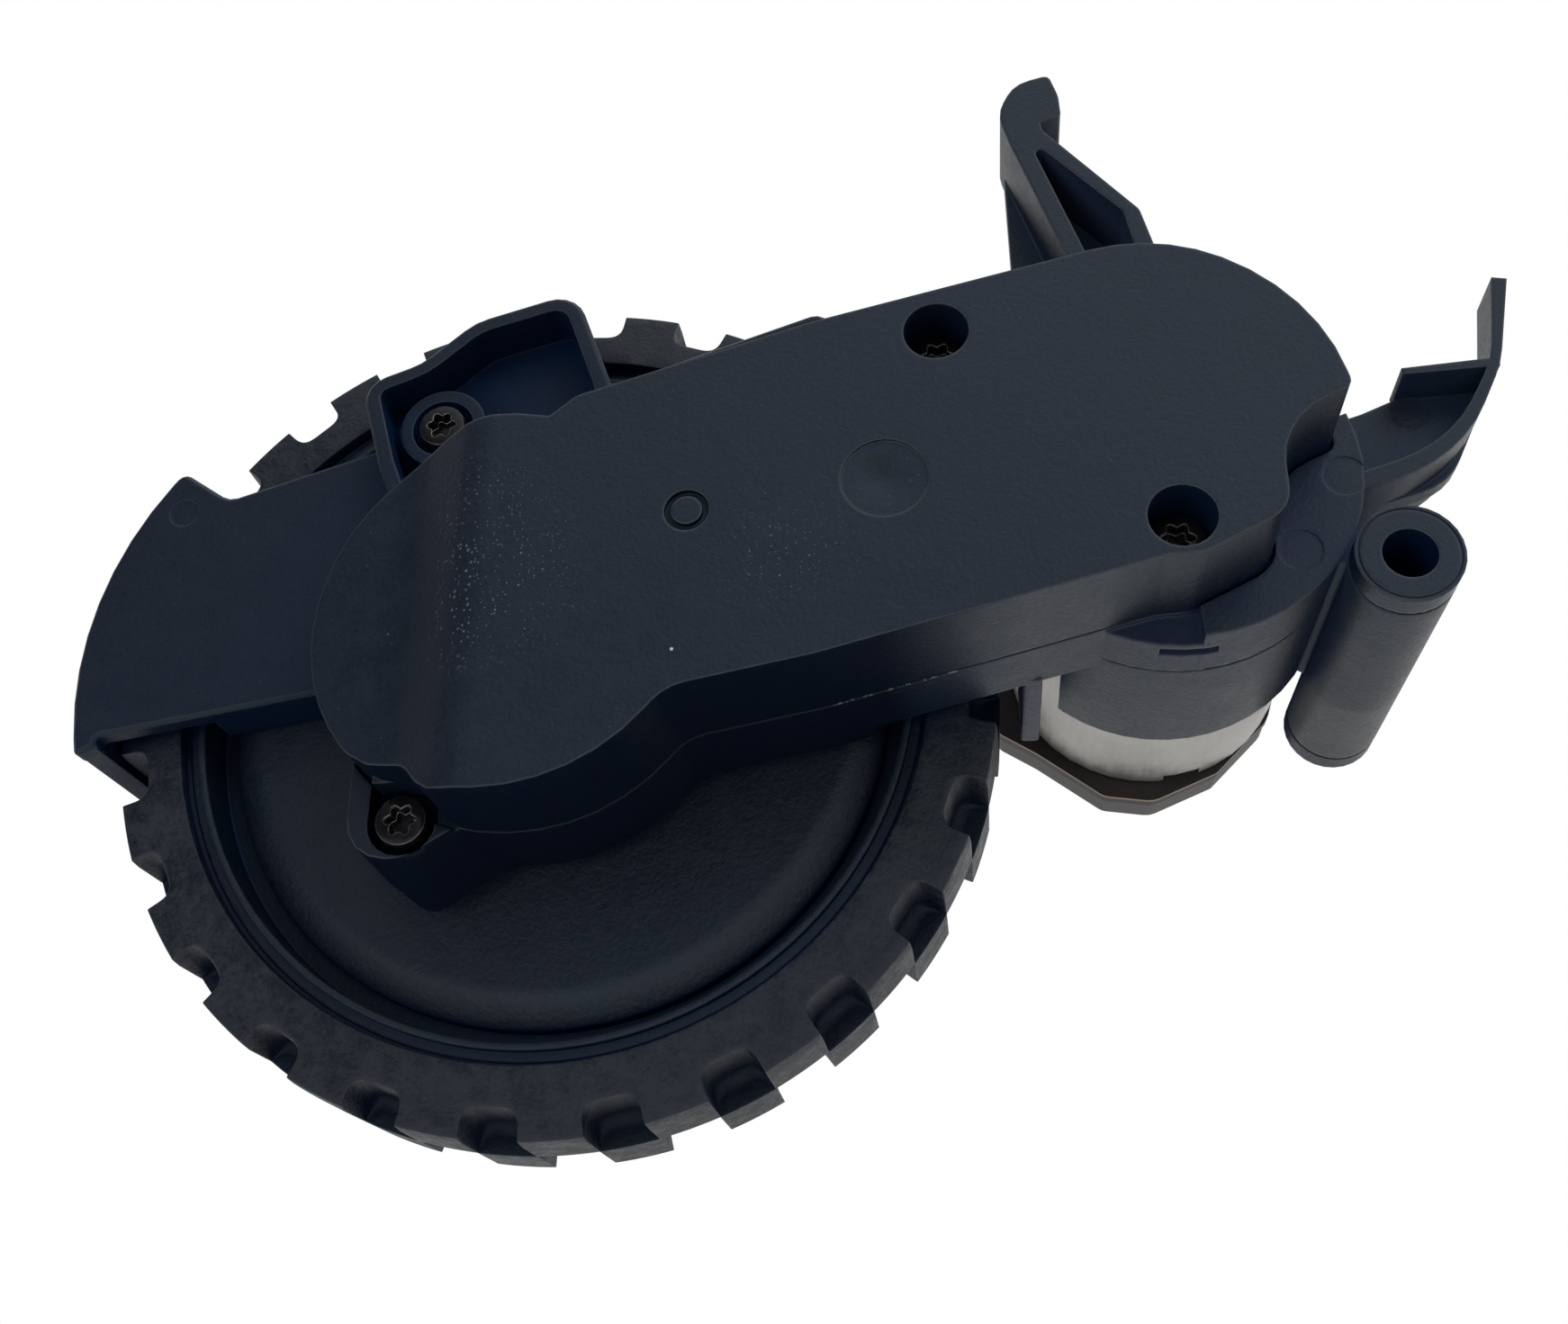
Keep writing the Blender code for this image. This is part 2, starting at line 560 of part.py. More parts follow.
for piece in (ear, crescent, web):
    cut(piece, prism("cover room", rounded(inset(OUTLINE, -SEAM)), PARTING - 0.003, PARTING + 0.00005))
join(housing, foot, ear, shroud, crescent, skirt, web, post, guard_lug, arm, hook, tower)
cut(housing, prism("room", rounded(inset(OUTLINE, WALL)), PARTING - 0.001, FLOOR))
deep = prism("room", rounded(inset(OUTLINE, WALL + 0.0001)), FLOOR - 0.0010, FOOT_FLOOR)
keep(deep, disc("reach", WHEEL, FOOT_RADIUS - WALL, PARTING - 0.002, FOOT_FLOOR + 0.001, 64))
cut(housing, deep)
for axis, back in zip((PIN_1, PIN_2, PIN_3), (OUTPUT_BACK, LAYER_1, LAYER_2)):
    join(housing, disc("boss", axis, PIN_BOSS_RADIUS, back + SEAM, HOUSING_BACK + 0.0002, 16))
for axis in HOLES:
    join(housing, disc("boss", axis, SCREW_BOSS_RADIUS, PARTING + 0.0002, HOUSING_BACK - 0.0003, 24))
cut(housing, prism("room", rounded(inset(lug_outline, -SEAM)), PARTING - 0.001, LUG_BACK + SEAM))
for axis, back in zip((PIN_1, PIN_2, PIN_3), (OUTPUT_BACK, LAYER_1, LAYER_2)):
    cut(housing, disc("bore", axis, PIN_RADIUS + FIT, back - 0.001, HOUSING_BACK - 0.0004, 16))
for axis in HOLES + [EAR_SCREW]:
    cut(housing, disc("bore", axis, SHANK_RADIUS + FIT, PARTING - 0.001, HOUSING_BACK - 0.0006, 16))
cut(housing, disc("bore", GUARD_SCREW, SHANK_RADIUS + FIT, -0.003, 0.001, 16))
cut(housing, disc("bore", WHEEL, SHAFT_RADIUS + BUSH_WALL + FIT, FLOOR - 0.001, FOOT_BACK + 0.001))
cut(housing, disc("bore", MOTOR, CAN_RADIUS + SEAM, HOUSING_BACK, HOUSING_BACK + SHROUD_LENGTH + 0.001, 48))
mouth = around(MOTOR, [(-0.0010, 0.0, 0), (-0.0113, 0.0160, 0), (-0.0118, 0.0160, 0), (-0.0165, 0.0, 0),
                       (-0.0165, -0.0080, 0), (-0.0118, -0.0080, 0), (-0.0086, -0.0103, 0)])
cut(housing, prism("mouth", rounded(mouth), HOUSING_BACK + 0.0001, HOUSING_BACK + SHROUD_LENGTH + 0.001))
cut(housing, disc("bore", MOTOR, CAN_BOSS_RADIUS + SEAM, FLOOR - 0.001, HOUSING_BACK + 0.001))
screw_circle = CAN_RADIUS - MOTOR_SCREW_INSET
MOTOR_SCREWS = [(MOTOR[0] + screw_circle * math.cos(a), MOTOR[1] + screw_circle * math.sin(a))
                for a in (math.radians(35), math.radians(215))]
for axis in MOTOR_SCREWS:
    cut(housing, disc("bore", axis, SHANK_RADIUS + FIT, FLOOR - 0.001, HOUSING_BACK + 0.001, 16))
tube_front = -PIVOT_FRONT
tube_back = PIVOT_LENGTH - PIVOT_FRONT
cut(housing, disc("bore", PIVOT, PIVOT_BORE + BUSH_WALL + FIT, tube_front - 0.001, tube_back + 0.001, 28))
shell_plastic(housing)

# Bushes of the pivot, one at each end of the tube
BUSH_STEM = 0.0060
for name, face, inward in (("pivot_bush_front", tube_front, 1), ("pivot_bush_rear", tube_back, -1)):
    outer = PIVOT_BORE + BUSH_WALL
    bush = turned(name, PIVOT, [(PIVOT_BORE, face), (PIVOT_RADIUS, face), (PIVOT_RADIUS, face + inward * BUSH_FLANGE),
                                (outer, face + inward * BUSH_FLANGE), (outer, face + inward * BUSH_STEM),
                                (PIVOT_BORE, face + inward * BUSH_STEM)], 28)
    finish(bush, name, (0.022, 0.024, 0.028), 0.42)

# Mudguard

GUARD_ARC = (-GUARD_OFFSET, GUARD_CENTRE_HEIGHT)
guard_radius = TYRE_RADIUS + GUARD_CLEARANCE + GUARD_THICKNESS - GUARD_OFFSET
guard_left = -GUARD_OFFSET - guard_radius
guard_edge = circle(GUARD_ARC, guard_radius + GUARD_LIP, 145.0, 192.0)
guard_plate = [(x, z, 0) for x, z in guard_edge] + [
    (guard_left + 0.00085, -0.0059, 0.0004), (guard_left + 0.00245, -0.0050, 0.0003),
    (guard_left + 0.00235, -0.0043, 0.0003), (-0.0140, -0.0008, 0), (-0.0120, 0.0, 0), (0.0, 0.0130, 0),
    (0.0240, 0.0200, 0), (0.0239, 0.0265, 0.0010), (0.0219, 0.0315, 0.0012), (0.0050, 0.0257, 0),
    (0.0010, 0.0260, 0), (-0.0130, 0.0212, 0), (-0.0155, 0.0202, 0), (guard_left + 0.01015, 0.0164, 0.0015),
    (guard_left + 0.00585, 0.01929, 0.0008)]
guard = soften(prism("mudguard", rounded(guard_plate), GUARD_FRONT, GUARD_BACK), 0.0003, 1)
wrap = (circle(GUARD_ARC, guard_radius, 143.4, 194.6)
        + circle(GUARD_ARC, guard_radius - GUARD_THICKNESS, 194.6, 143.4))
join(guard, prism("wrap", wrap, GUARD_FRONT + 0.0004, GUARD_FRONT + GUARD_WRAP))
apron = [(-0.0262, -0.00283), (-0.0120, -0.00047), (-0.0120, 0.0007), (-0.0262, -0.00165)]
join(guard, prism("apron", apron, GUARD_FRONT + 0.0006, HUB_DISC_DEPTH - 0.0007))
ear_outline = [
    (-0.0110, 0.0110, 0), (0.0078, 0.0150, 0), (0.0050, 0.0236, 0.0100), (0.0019, 0.03205, 0.0026),
    (-0.0064, 0.02965, 0.0050), (-0.0106, 0.0259, 0.0050), (-0.01545, 0.02410, 0.0022), (-0.0132, 0.0164, 0.0060)]
ear_tray = soften(prism("tray", rounded(ear_outline), GUARD_FRONT - EAR_HEIGHT, GUARD_BACK), 0.0003, 1)
cut(ear_tray, prism("room", rounded(inset(ear_outline, EAR_WALL)), GUARD_FRONT - EAR_HEIGHT - 0.001, GUARD_FRONT))
EAR_BOSS_TOP = GUARD_FRONT - 0.0028
join(guard, ear_tray, disc("boss", GUARD_SCREW, 0.0035, EAR_BOSS_TOP, GUARD_FRONT + 0.0005, 28))
HEAD_SEAT = EAR_BOSS_TOP + 0.0014
cut(guard, disc("bore", GUARD_SCREW, HEAD_RADIUS + 0.0006, EAR_BOSS_TOP - 0.001, HEAD_SEAT, 28),
    disc("bore", GUARD_SCREW, SHANK_RADIUS + SEAM, EAR_BOSS_TOP, GUARD_BACK + 0.001, 16))
cut(guard, prism("clear", rounded(inset(OUTLINE, -SEAM)), -0.020, 0.005))
shell_plastic(guard)

# Tyre: two rows of blocks, the rear row staggered by half a pitch

def tread_outline(phase):
    pitch = math.tau / TREAD_BLOCKS
    half = pitch * BLOCK_SHARE / 2
    bottom = TYRE_RADIUS - TREAD_DEPTH
    rows = [(TYRE_RADIUS, half), (bottom + 0.28 * TREAD_DEPTH, half * 1.07), (bottom, half * 1.42)]
    points = []
    for block in range(TREAD_BLOCKS):
        middle = math.radians(phase) + pitch * block
        for radius, angle in rows[::-1]:
            points.append((radius * math.cos(middle - angle), radius * math.sin(middle - angle)))
        for radius, angle in rows:
            points.append((radius * math.cos(middle + angle), radius * math.sin(middle + angle)))
    return points


def tread_row(name, phase, front, back, bulge):
    # A ring of blocks; its front face falls away towards the hub by the bulge.
    outline = tread_outline(phase)
    seat = circle((0, 0), TYRE_SEAT_RADIUS, phase, phase + 360, 2 * TREAD_BLOCKS)
    bm = bmesh.new()

    def ring(points, y, lift):
        fall = [lift * (TYRE_RADIUS - math.hypot(x, z)) / TYRE_SECTION for x, z in points]
        return [bm.verts.new((x, y - drop, z)) for (x, z), drop in zip(points, fall)]

    sides = [(ring(outline, y, lift), ring(seat, y, lift)) for y, lift in ((front, bulge), (back, 0.0))]
    for outer, inner in sides:
        for i in range(TREAD_BLOCKS):
            middle, gap = inner[2 * i], inner[2 * i + 1]
            block = outer[6 * i:6 * i + 6]
            following = outer[(6 * i + 6) % len(outer)]
            for a, b in zip(block, block[1:]):
                bm.faces.new((middle, a, b))
            bm.faces.new((middle, block[-1], gap))
            bm.faces.new((gap, block[-1], following))
            bm.faces.new((gap, following, inner[(2 * i + 2) % len(inner)]))
    for near, far in zip(*sides):
        for i in range(len(near)):
            bm.faces.new((near[i - 1], near[i], far[i], far[i - 1]))
    return add(name, bm, (WHEEL[0], 0.0, WHEEL[1]))


tyre = tread_row("tyre", TREAD_PHASE, 0.0, TYRE_WIDTH / 2 + 0.00005, TYRE_BULGE)
half_pitch = 180.0 / TREAD_BLOCKS
join(tyre, tread_row("row", TREAD_PHASE + half_pitch, TYRE_WIDTH / 2 - 0.00005, TYRE_WIDTH, 0.0))
finish(tyre, "tyre", (0.018, 0.018, 0.020), 0.72)

# Hub: a dished disc in a rim, ribbed behind, on the hexagon of the output shaft

rim = TYRE_SEAT_RADIUS - SEAM
disc_radius = rim - HUB_RIM_BAND
disc_back = HUB_DISC_DEPTH + HUB_DISC_THICKNESS
groove = (rim - 0.0028, rim - 0.0014)
hub = turned("wheel_hub", WHEEL, [
    (0, 0.0006), (HUB_BOSS_RADIUS - 0.001, 0.0006), (HUB_BOSS_RADIUS - 0.001, HUB_DISC_DEPTH),
    (disc_radius, HUB_DISC_DEPTH), (disc_radius + 0.0015, HUB_DISC_DEPTH + 0.0005),
    (groove[0] - 0.0001, HUB_DISC_DEPTH + 0.0018),
    (groove[0], HUB_GROOVE_DEPTH), (groove[1], HUB_GROOVE_DEPTH), (groove[1], -0.0001),
    (rim - 0.0008, -0.0001), (rim - 0.0008, 0.0005), (rim, 0.0005), (rim, HUB_RIM_WIDTH), (rim - 0.0014, HUB_RIM_WIDTH),
    (rim - 0.0020, HUB_GROOVE_DEPTH + 0.0016), (disc_radius, HUB_GROOVE_DEPTH + 0.0016),
    (disc_radius - 0.0015, disc_back), (HUB_BOSS_RADIUS, disc_back), (HUB_BOSS_RADIUS, HUB_BOSS_LENGTH),
    (0, HUB_BOSS_LENGTH)], 48)
for i in range(HUB_RIBS):
    angle = math.tau * i / HUB_RIBS
    along = Vector((math.cos(angle), math.sin(angle)))
    across = Vector((-along.y, along.x)) * RIB_THICKNESS / 2
    inner = along * (HUB_BOSS_RADIUS - 0.0006)
    outer = along * (rim - 0.0012)
    rib = prism("rib", [tuple(inner - across), tuple(outer - across), tuple(outer + across), tuple(inner + across)],
                disc_back - 0.0005, HUB_BOSS_LENGTH - 0.0012)
    join(hub, rib)
HEX = [(HEX_SIZE / math.sqrt(3) * math.cos(math.radians(60 * i)),
        HEX_SIZE / math.sqrt(3) * math.sin(math.radians(60 * i))) for i in range(6)]
grow = (HEX_SIZE / 2 + FIT) / (HEX_SIZE / 2)
HEX_BACK = HUB_BOSS_LENGTH - 0.0022
cut(hub, prism("bore", [(x * grow, z * grow) for x, z in HEX], 0.0, HEX_BACK, at=WHEEL),
    disc("bore", WHEEL, SHANK_RADIUS + SEAM, HEX_BACK - 0.001, HUB_BOSS_LENGTH + 0.001, 16))
finish(hub, "wheel_hub", (0.021, 0.024, 0.030), 0.50)

# Output shaft with its gear and bushes

shaft_front = BUSH_FRONT + SEAM
shaft = turned("output_shaft", WHEEL, [
    (0, shaft_front), (SHAFT_RADIUS, shaft_front), (SHAFT_RADIUS, 0.0), (HEX_SIZE / 2 - 0.0003, 0.0),
    (HEX_SIZE / 2 - 0.0003, HEX_BACK - SEAM), (0, HEX_BACK - SEAM)])
join(shaft, prism("hexagon", HEX, 0.0004, HEX_BACK - SEAM, at=WHEEL))
cut(shaft, disc("bore", WHEEL, SHANK_RADIUS + FIT, HEX_BACK - 0.0060, HEX_BACK + 0.001, 16))
finish(shaft, "output_shaft", (0.55, 0.55, 0.56), 0.32, 1.0)

output_phase = 0.0
output = gear("output_gear", WHEEL, MODULE_1, OUTPUT_TEETH, output_phase, OUTPUT_FRONT, OUTPUT_BACK)
cut(output, disc("bore", WHEEL, SHAFT_RADIUS + FIT, OUTPUT_FRONT - 0.001, OUTPUT_BACK + 0.001))
finish(output, "output_gear", (0.70, 0.69, 0.65), 0.45)
for name, front in (("output_bush_front", BUSH_FRONT), ("output_bush_rear", FOOT_FLOOR)):
    back = front + BUSH_LENGTH if name == "output_bush_front" else FOOT_BACK
    bush = turned(name, WHEEL, [(SHAFT_RADIUS + FIT, front), (SHAFT_RADIUS + BUSH_WALL, front),
                                (SHAFT_RADIUS + BUSH_WALL, back), (SHAFT_RADIUS + FIT, back)])
    finish(bush, name, (0.50, 0.36, 0.18), 0.40, 1.0)

# Compound gears, each a wheel and a pinion moulded as one

trains = [
    ("compound_gear_1", PIN_1, MODULE_2, MODULE_1, TEETH_1, LAYER_1 - WHEEL_FACE, LAYER_1, OUTPUT_BACK),
    ("compound_gear_2", PIN_2, MODULE_3, MODULE_2, TEETH_2, LAYER_2 - WHEEL_FACE, LAYER_2, LAYER_1 + 0.0002),
    ("compound_gear_3", PIN_3, MODULE_4, MODULE_3, TEETH_3, LAYER_3 - WHEEL_FACE, LAYER_3, LAYER_2 + 0.0002),
]
driver = (WHEEL, OUTPUT_TEETH, output_phase)
for name, axis, wheel_module, pinion_module, (wheel_teeth, pinion_teeth), front, middle, back in trains:
    phase = meshing_phase(*driver, axis, pinion_teeth)
    body = gear(name, axis, wheel_module, wheel_teeth, 0.0, front, middle)
    join(body, gear("pinion", axis, pinion_module, pinion_teeth, phase, middle - 0.0005, back))
    cut(body, disc("bore", axis, PIN_RADIUS + FIT, front - 0.001, back + 0.001, 16))
    finish(body, name, (0.70, 0.69, 0.65), 0.45)
    driver = (axis, wheel_teeth, 0.0)
pins = (("gear_pin_1", PIN_1, OUTPUT_BACK), ("gear_pin_2", PIN_2, LAYER_1), ("gear_pin_3", PIN_3, LAYER_2))
for name, axis, back in pins:
    pin = disc(name, axis, PIN_RADIUS, ROOF + SEAM, HOUSING_BACK - 0.0004 - SEAM, 16)
    finish(pin, name, (0.60, 0.60, 0.61), 0.28, 1.0)

# Motor

CAN_FRONT = HOUSING_BACK + SEAM
CAN_BACK = CAN_FRONT + CAN_LENGTH
can = turned("motor_can", MOTOR, [
    (MOTOR_SHAFT_RADIUS + FIT, FLOOR + SEAM), (CAN_BOSS_RADIUS, FLOOR + SEAM), (CAN_BOSS_RADIUS, CAN_FRONT),
    (CAN_RADIUS - 0.0008, CAN_FRONT), (CAN_RADIUS, CAN_FRONT + 0.0008), (CAN_RADIUS, CAN_BACK),
    (MOTOR_SHAFT_RADIUS + FIT, CAN_BACK)], 40)
for axis in MOTOR_SCREWS:
    cut(can, disc("bore", axis, SHANK_RADIUS + FIT, CAN_FRONT - 0.001, CAN_FRONT + 0.0030, 16))
finish(can, "motor_can", (0.62, 0.63, 0.65), 0.35, 0.7)
pinion_phase = meshing_phase(*driver, MOTOR, MOTOR_TEETH)
pinion = gear("motor_pinion", MOTOR, MODULE_4, MOTOR_TEETH, pinion_phase, LAYER_3 - WHEEL_FACE - 0.0002,
              LAYER_3 + 0.0002)
cut(pinion, disc("bore", MOTOR, MOTOR_SHAFT_RADIUS + FIT, LAYER_3 - 0.005, LAYER_3 + 0.002, 16))
finish(pinion, "motor_pinion", (0.60, 0.45, 0.22), 0.35, 1.0)
BOARD_FRONT = CAN_BACK + SEAM
BOARD_BACK = BOARD_FRONT + BOARD_THICKNESS
CAP_FRONT = BOARD_BACK + SEAM
CAP_BACK = CAP_FRONT + CAP_DEPTH
MAGNET_BACK = CAP_FRONT + 0.0017
motor_shaft = disc("motor_shaft", MOTOR, MOTOR_SHAFT_RADIUS, LAYER_3 - WHEEL_FACE - 0.0004, MAGNET_BACK, 16)
finish(motor_shaft, "motor_shaft", (0.60, 0.60, 0.61), 0.28, 1.0)
magnet = turned("encoder_magnet", MOTOR, [
    (MOTOR_SHAFT_RADIUS + FIT, CAP_FRONT + 0.0001), (MAGNET_RADIUS, CAP_FRONT + 0.0001), (MAGNET_RADIUS, MAGNET_BACK),
    (MOTOR_SHAFT_RADIUS + FIT, MAGNET_BACK)], 24)
finish(magnet, "encoder_magnet", (0.10, 0.10, 0.11), 0.55, 0.3)
cap_outline = around(MOTOR, [
    (-0.0133, -0.0066, 0.001), (-0.0098, -0.0088, 0.001), (-0.0042, -0.0130, 0.0015), (0.0, -0.0136, 0.002),
    (0.0056, -0.0112, 0.001), (0.0104, -0.0064, 0.002), (0.0128, 0.0010, 0.004), (0.0095, 0.0090, 0.005),
    (0.0, 0.0128, 0.006), (-0.0100, 0.0090, 0.005), (-0.0133, 0.0010, 0.002)])
board = prism("encoder_board", rounded(inset(cap_outline, -0.0001)), BOARD_FRONT, BOARD_BACK)
cut(board, disc("bore", MOTOR, MOTOR_SHAFT_RADIUS + 0.0004, BOARD_FRONT - 0.001, BOARD_BACK + 0.001, 16))
finish(board, "encoder_board", (0.42, 0.30, 0.16), 0.60)
cap = prism("motor_end_cap", rounded(cap_outline), CAP_FRONT, CAP_BACK)
cut(cap, disc("room", MOTOR, MAGNET_RADIUS + 0.0006, CAP_FRONT - 0.001, MAGNET_BACK + 0.0004, 32))
shell_plastic(cap)

# Screws

def screw(name, axis, seat, length, towards=1):
    head = seat - towards * HEAD_HEIGHT
    body = turned(name, axis, [
        (0, head), (HEAD_RADIUS, head), (HEAD_RADIUS, seat), (SHANK_RADIUS, seat),
        (SHANK_RADIUS, seat + towards * length), (0, seat + towards * length)], 14)
    socket = circle(axis, HEAD_RADIUS * 0.5, 0, 360, 6)
    cut(body, prism("socket", socket, min(head - towards * 0.0005, head + towards * 0.0009),
                    max(head - towards * 0.0005, head + towards * 0.0009)))
    finish(body, name, (0.05, 0.05, 0.055), 0.25, 1.0)


bore_floor = COVER_FACE + HEAD_BORE_DEPTH
for i, axis in enumerate(HOLES):
    screw(f"cover_screw_{i + 1}", axis, bore_floor - SEAM, SCREW_LENGTH)
screw("cover_screw_3", EAR_SCREW, LUG_FRONT - SEAM, 0.0038)
screw("mudguard_screw", GUARD_SCREW, HEAD_SEAT - SEAM, 0.0046)
for i, axis in enumerate(MOTOR_SCREWS):
    screw(f"motor_screw_{i + 1}", axis, FLOOR - SEAM, 0.0042)
screw("wheel_screw", WHEEL, HUB_BOSS_LENGTH + SEAM, 0.0062, -1)

# The module hangs on its pivot, so the front end of the pivot's axis is the origin.
pivot_frame = bpy.data.objects.new("pivot_frame", None)
bpy.context.scene.collection.objects.link(pivot_frame)
pivot_frame.location = (-PIVOT[0], PIVOT_FRONT, -PIVOT[1])
for thing in bpy.data.objects:
    if thing is not pivot_frame:
        thing.parent = pivot_frame
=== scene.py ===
import bpy
import bmesh
import json
import math
from mathutils import Matrix, Vector

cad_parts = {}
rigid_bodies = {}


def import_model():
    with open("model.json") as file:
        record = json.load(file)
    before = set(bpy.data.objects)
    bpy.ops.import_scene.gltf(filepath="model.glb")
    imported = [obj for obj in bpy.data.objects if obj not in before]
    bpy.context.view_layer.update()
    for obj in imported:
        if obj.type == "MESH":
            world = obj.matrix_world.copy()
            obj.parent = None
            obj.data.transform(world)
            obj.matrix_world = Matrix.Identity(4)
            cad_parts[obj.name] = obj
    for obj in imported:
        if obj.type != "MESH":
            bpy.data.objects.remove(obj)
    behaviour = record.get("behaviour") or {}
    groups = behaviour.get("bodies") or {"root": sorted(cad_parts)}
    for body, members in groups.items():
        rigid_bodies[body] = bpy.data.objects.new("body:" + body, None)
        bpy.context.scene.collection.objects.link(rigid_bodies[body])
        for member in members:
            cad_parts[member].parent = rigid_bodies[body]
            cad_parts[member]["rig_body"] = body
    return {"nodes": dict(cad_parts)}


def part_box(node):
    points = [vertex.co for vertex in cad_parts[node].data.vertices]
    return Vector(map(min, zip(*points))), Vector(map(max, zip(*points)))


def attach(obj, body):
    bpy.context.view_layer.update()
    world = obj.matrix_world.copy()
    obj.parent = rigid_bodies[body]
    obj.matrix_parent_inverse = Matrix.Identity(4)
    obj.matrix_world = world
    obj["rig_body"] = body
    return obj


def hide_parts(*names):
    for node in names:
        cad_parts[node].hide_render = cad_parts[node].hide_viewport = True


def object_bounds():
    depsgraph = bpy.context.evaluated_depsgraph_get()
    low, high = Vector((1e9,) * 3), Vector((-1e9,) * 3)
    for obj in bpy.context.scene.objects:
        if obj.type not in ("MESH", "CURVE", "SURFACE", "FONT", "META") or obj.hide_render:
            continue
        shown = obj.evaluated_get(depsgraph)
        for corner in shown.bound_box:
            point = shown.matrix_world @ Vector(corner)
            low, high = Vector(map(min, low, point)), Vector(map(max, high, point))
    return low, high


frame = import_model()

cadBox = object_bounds()
scene = bpy.context.scene
print("frame loaded")

# camera at the photograph's angle: the part lies on its back and is looked at from the cover's side
camera = {"place": (-0.03069, -0.10745, -0.05509), "turn": (114.262, -0.403, 6.552), "lens": 38.90,
          "sensor": 36.0, "nearest": 0.005, "farthest": 5.0}

eye = bpy.data.cameras.new("photoCamera")
eye.lens = camera["lens"]
eye.sensor_width = camera["sensor"]
eye.clip_start = camera["nearest"]
eye.clip_end = camera["farthest"]
eyeObject = bpy.data.objects.new("photoCamera", eye)
scene.collection.objects.link(eyeObject)
eyeObject.location = camera["place"]
eyeObject.rotation_euler = [math.radians(angle) for angle in camera["turn"]]
scene.camera = eyeObject
scene.view_settings.view_transform = "Standard"


class Wire:
    # a node's output that can be used in sums
    def __init__(self, tree, socket):
        self.tree, self.socket = tree, socket

    def maths(self, operation, first, second):
        return addNode(self.tree, "ShaderNodeMath", {"operation": operation}, {0: first, 1: second})

    def __add__(self, other):
        return self.maths("ADD", self, other)

    def __radd__(self, other):
        return self.maths("ADD", other, self)

    def __sub__(self, other):
        return self.maths("SUBTRACT", self, other)

    def __rsub__(self, other):
        return self.maths("SUBTRACT", other, self)

    def __mul__(self, other):
        return self.maths("MULTIPLY", self, other)

    def __rmul__(self, other):
        return self.maths("MULTIPLY", other, self)

    def __truediv__(self, other):
        return self.maths("DIVIDE", self, other)

    def __gt__(self, other):
        return self.maths("GREATER_THAN", self, other)

    def __lt__(self, other):
        return self.maths("LESS_THAN", self, other)

    def out(self, name):
        return Wire(self.tree, self.socket.node.outputs[name])


def addNode(tree, kind, settings=None, sockets=None, output=0):
    # settings come first, because some of them change the sockets
    made = tree.nodes.new(kind)
    for name, value in (settings or {}).items():
        if name == "stops":
            ramp = made.color_ramp
            while len(ramp.elements) < len(value):
                ramp.elements.new(0.5)
            for stop, (place, shade) in zip(ramp.elements, value):
                stop.position = place
                stop.color = shade if len(shade) == 4 else (*shade, 1.0)
        else:
            setattr(made, name, value)
    for name, value in (sockets or {}).items():
        if isinstance(value, Wire):
            tree.links.new(value.socket, made.inputs[name])
        else:
            made.inputs[name].default_value = value
    return Wire(tree, made.outputs[output]) if made.outputs else made


def grey(level):
    return (level, level, level)


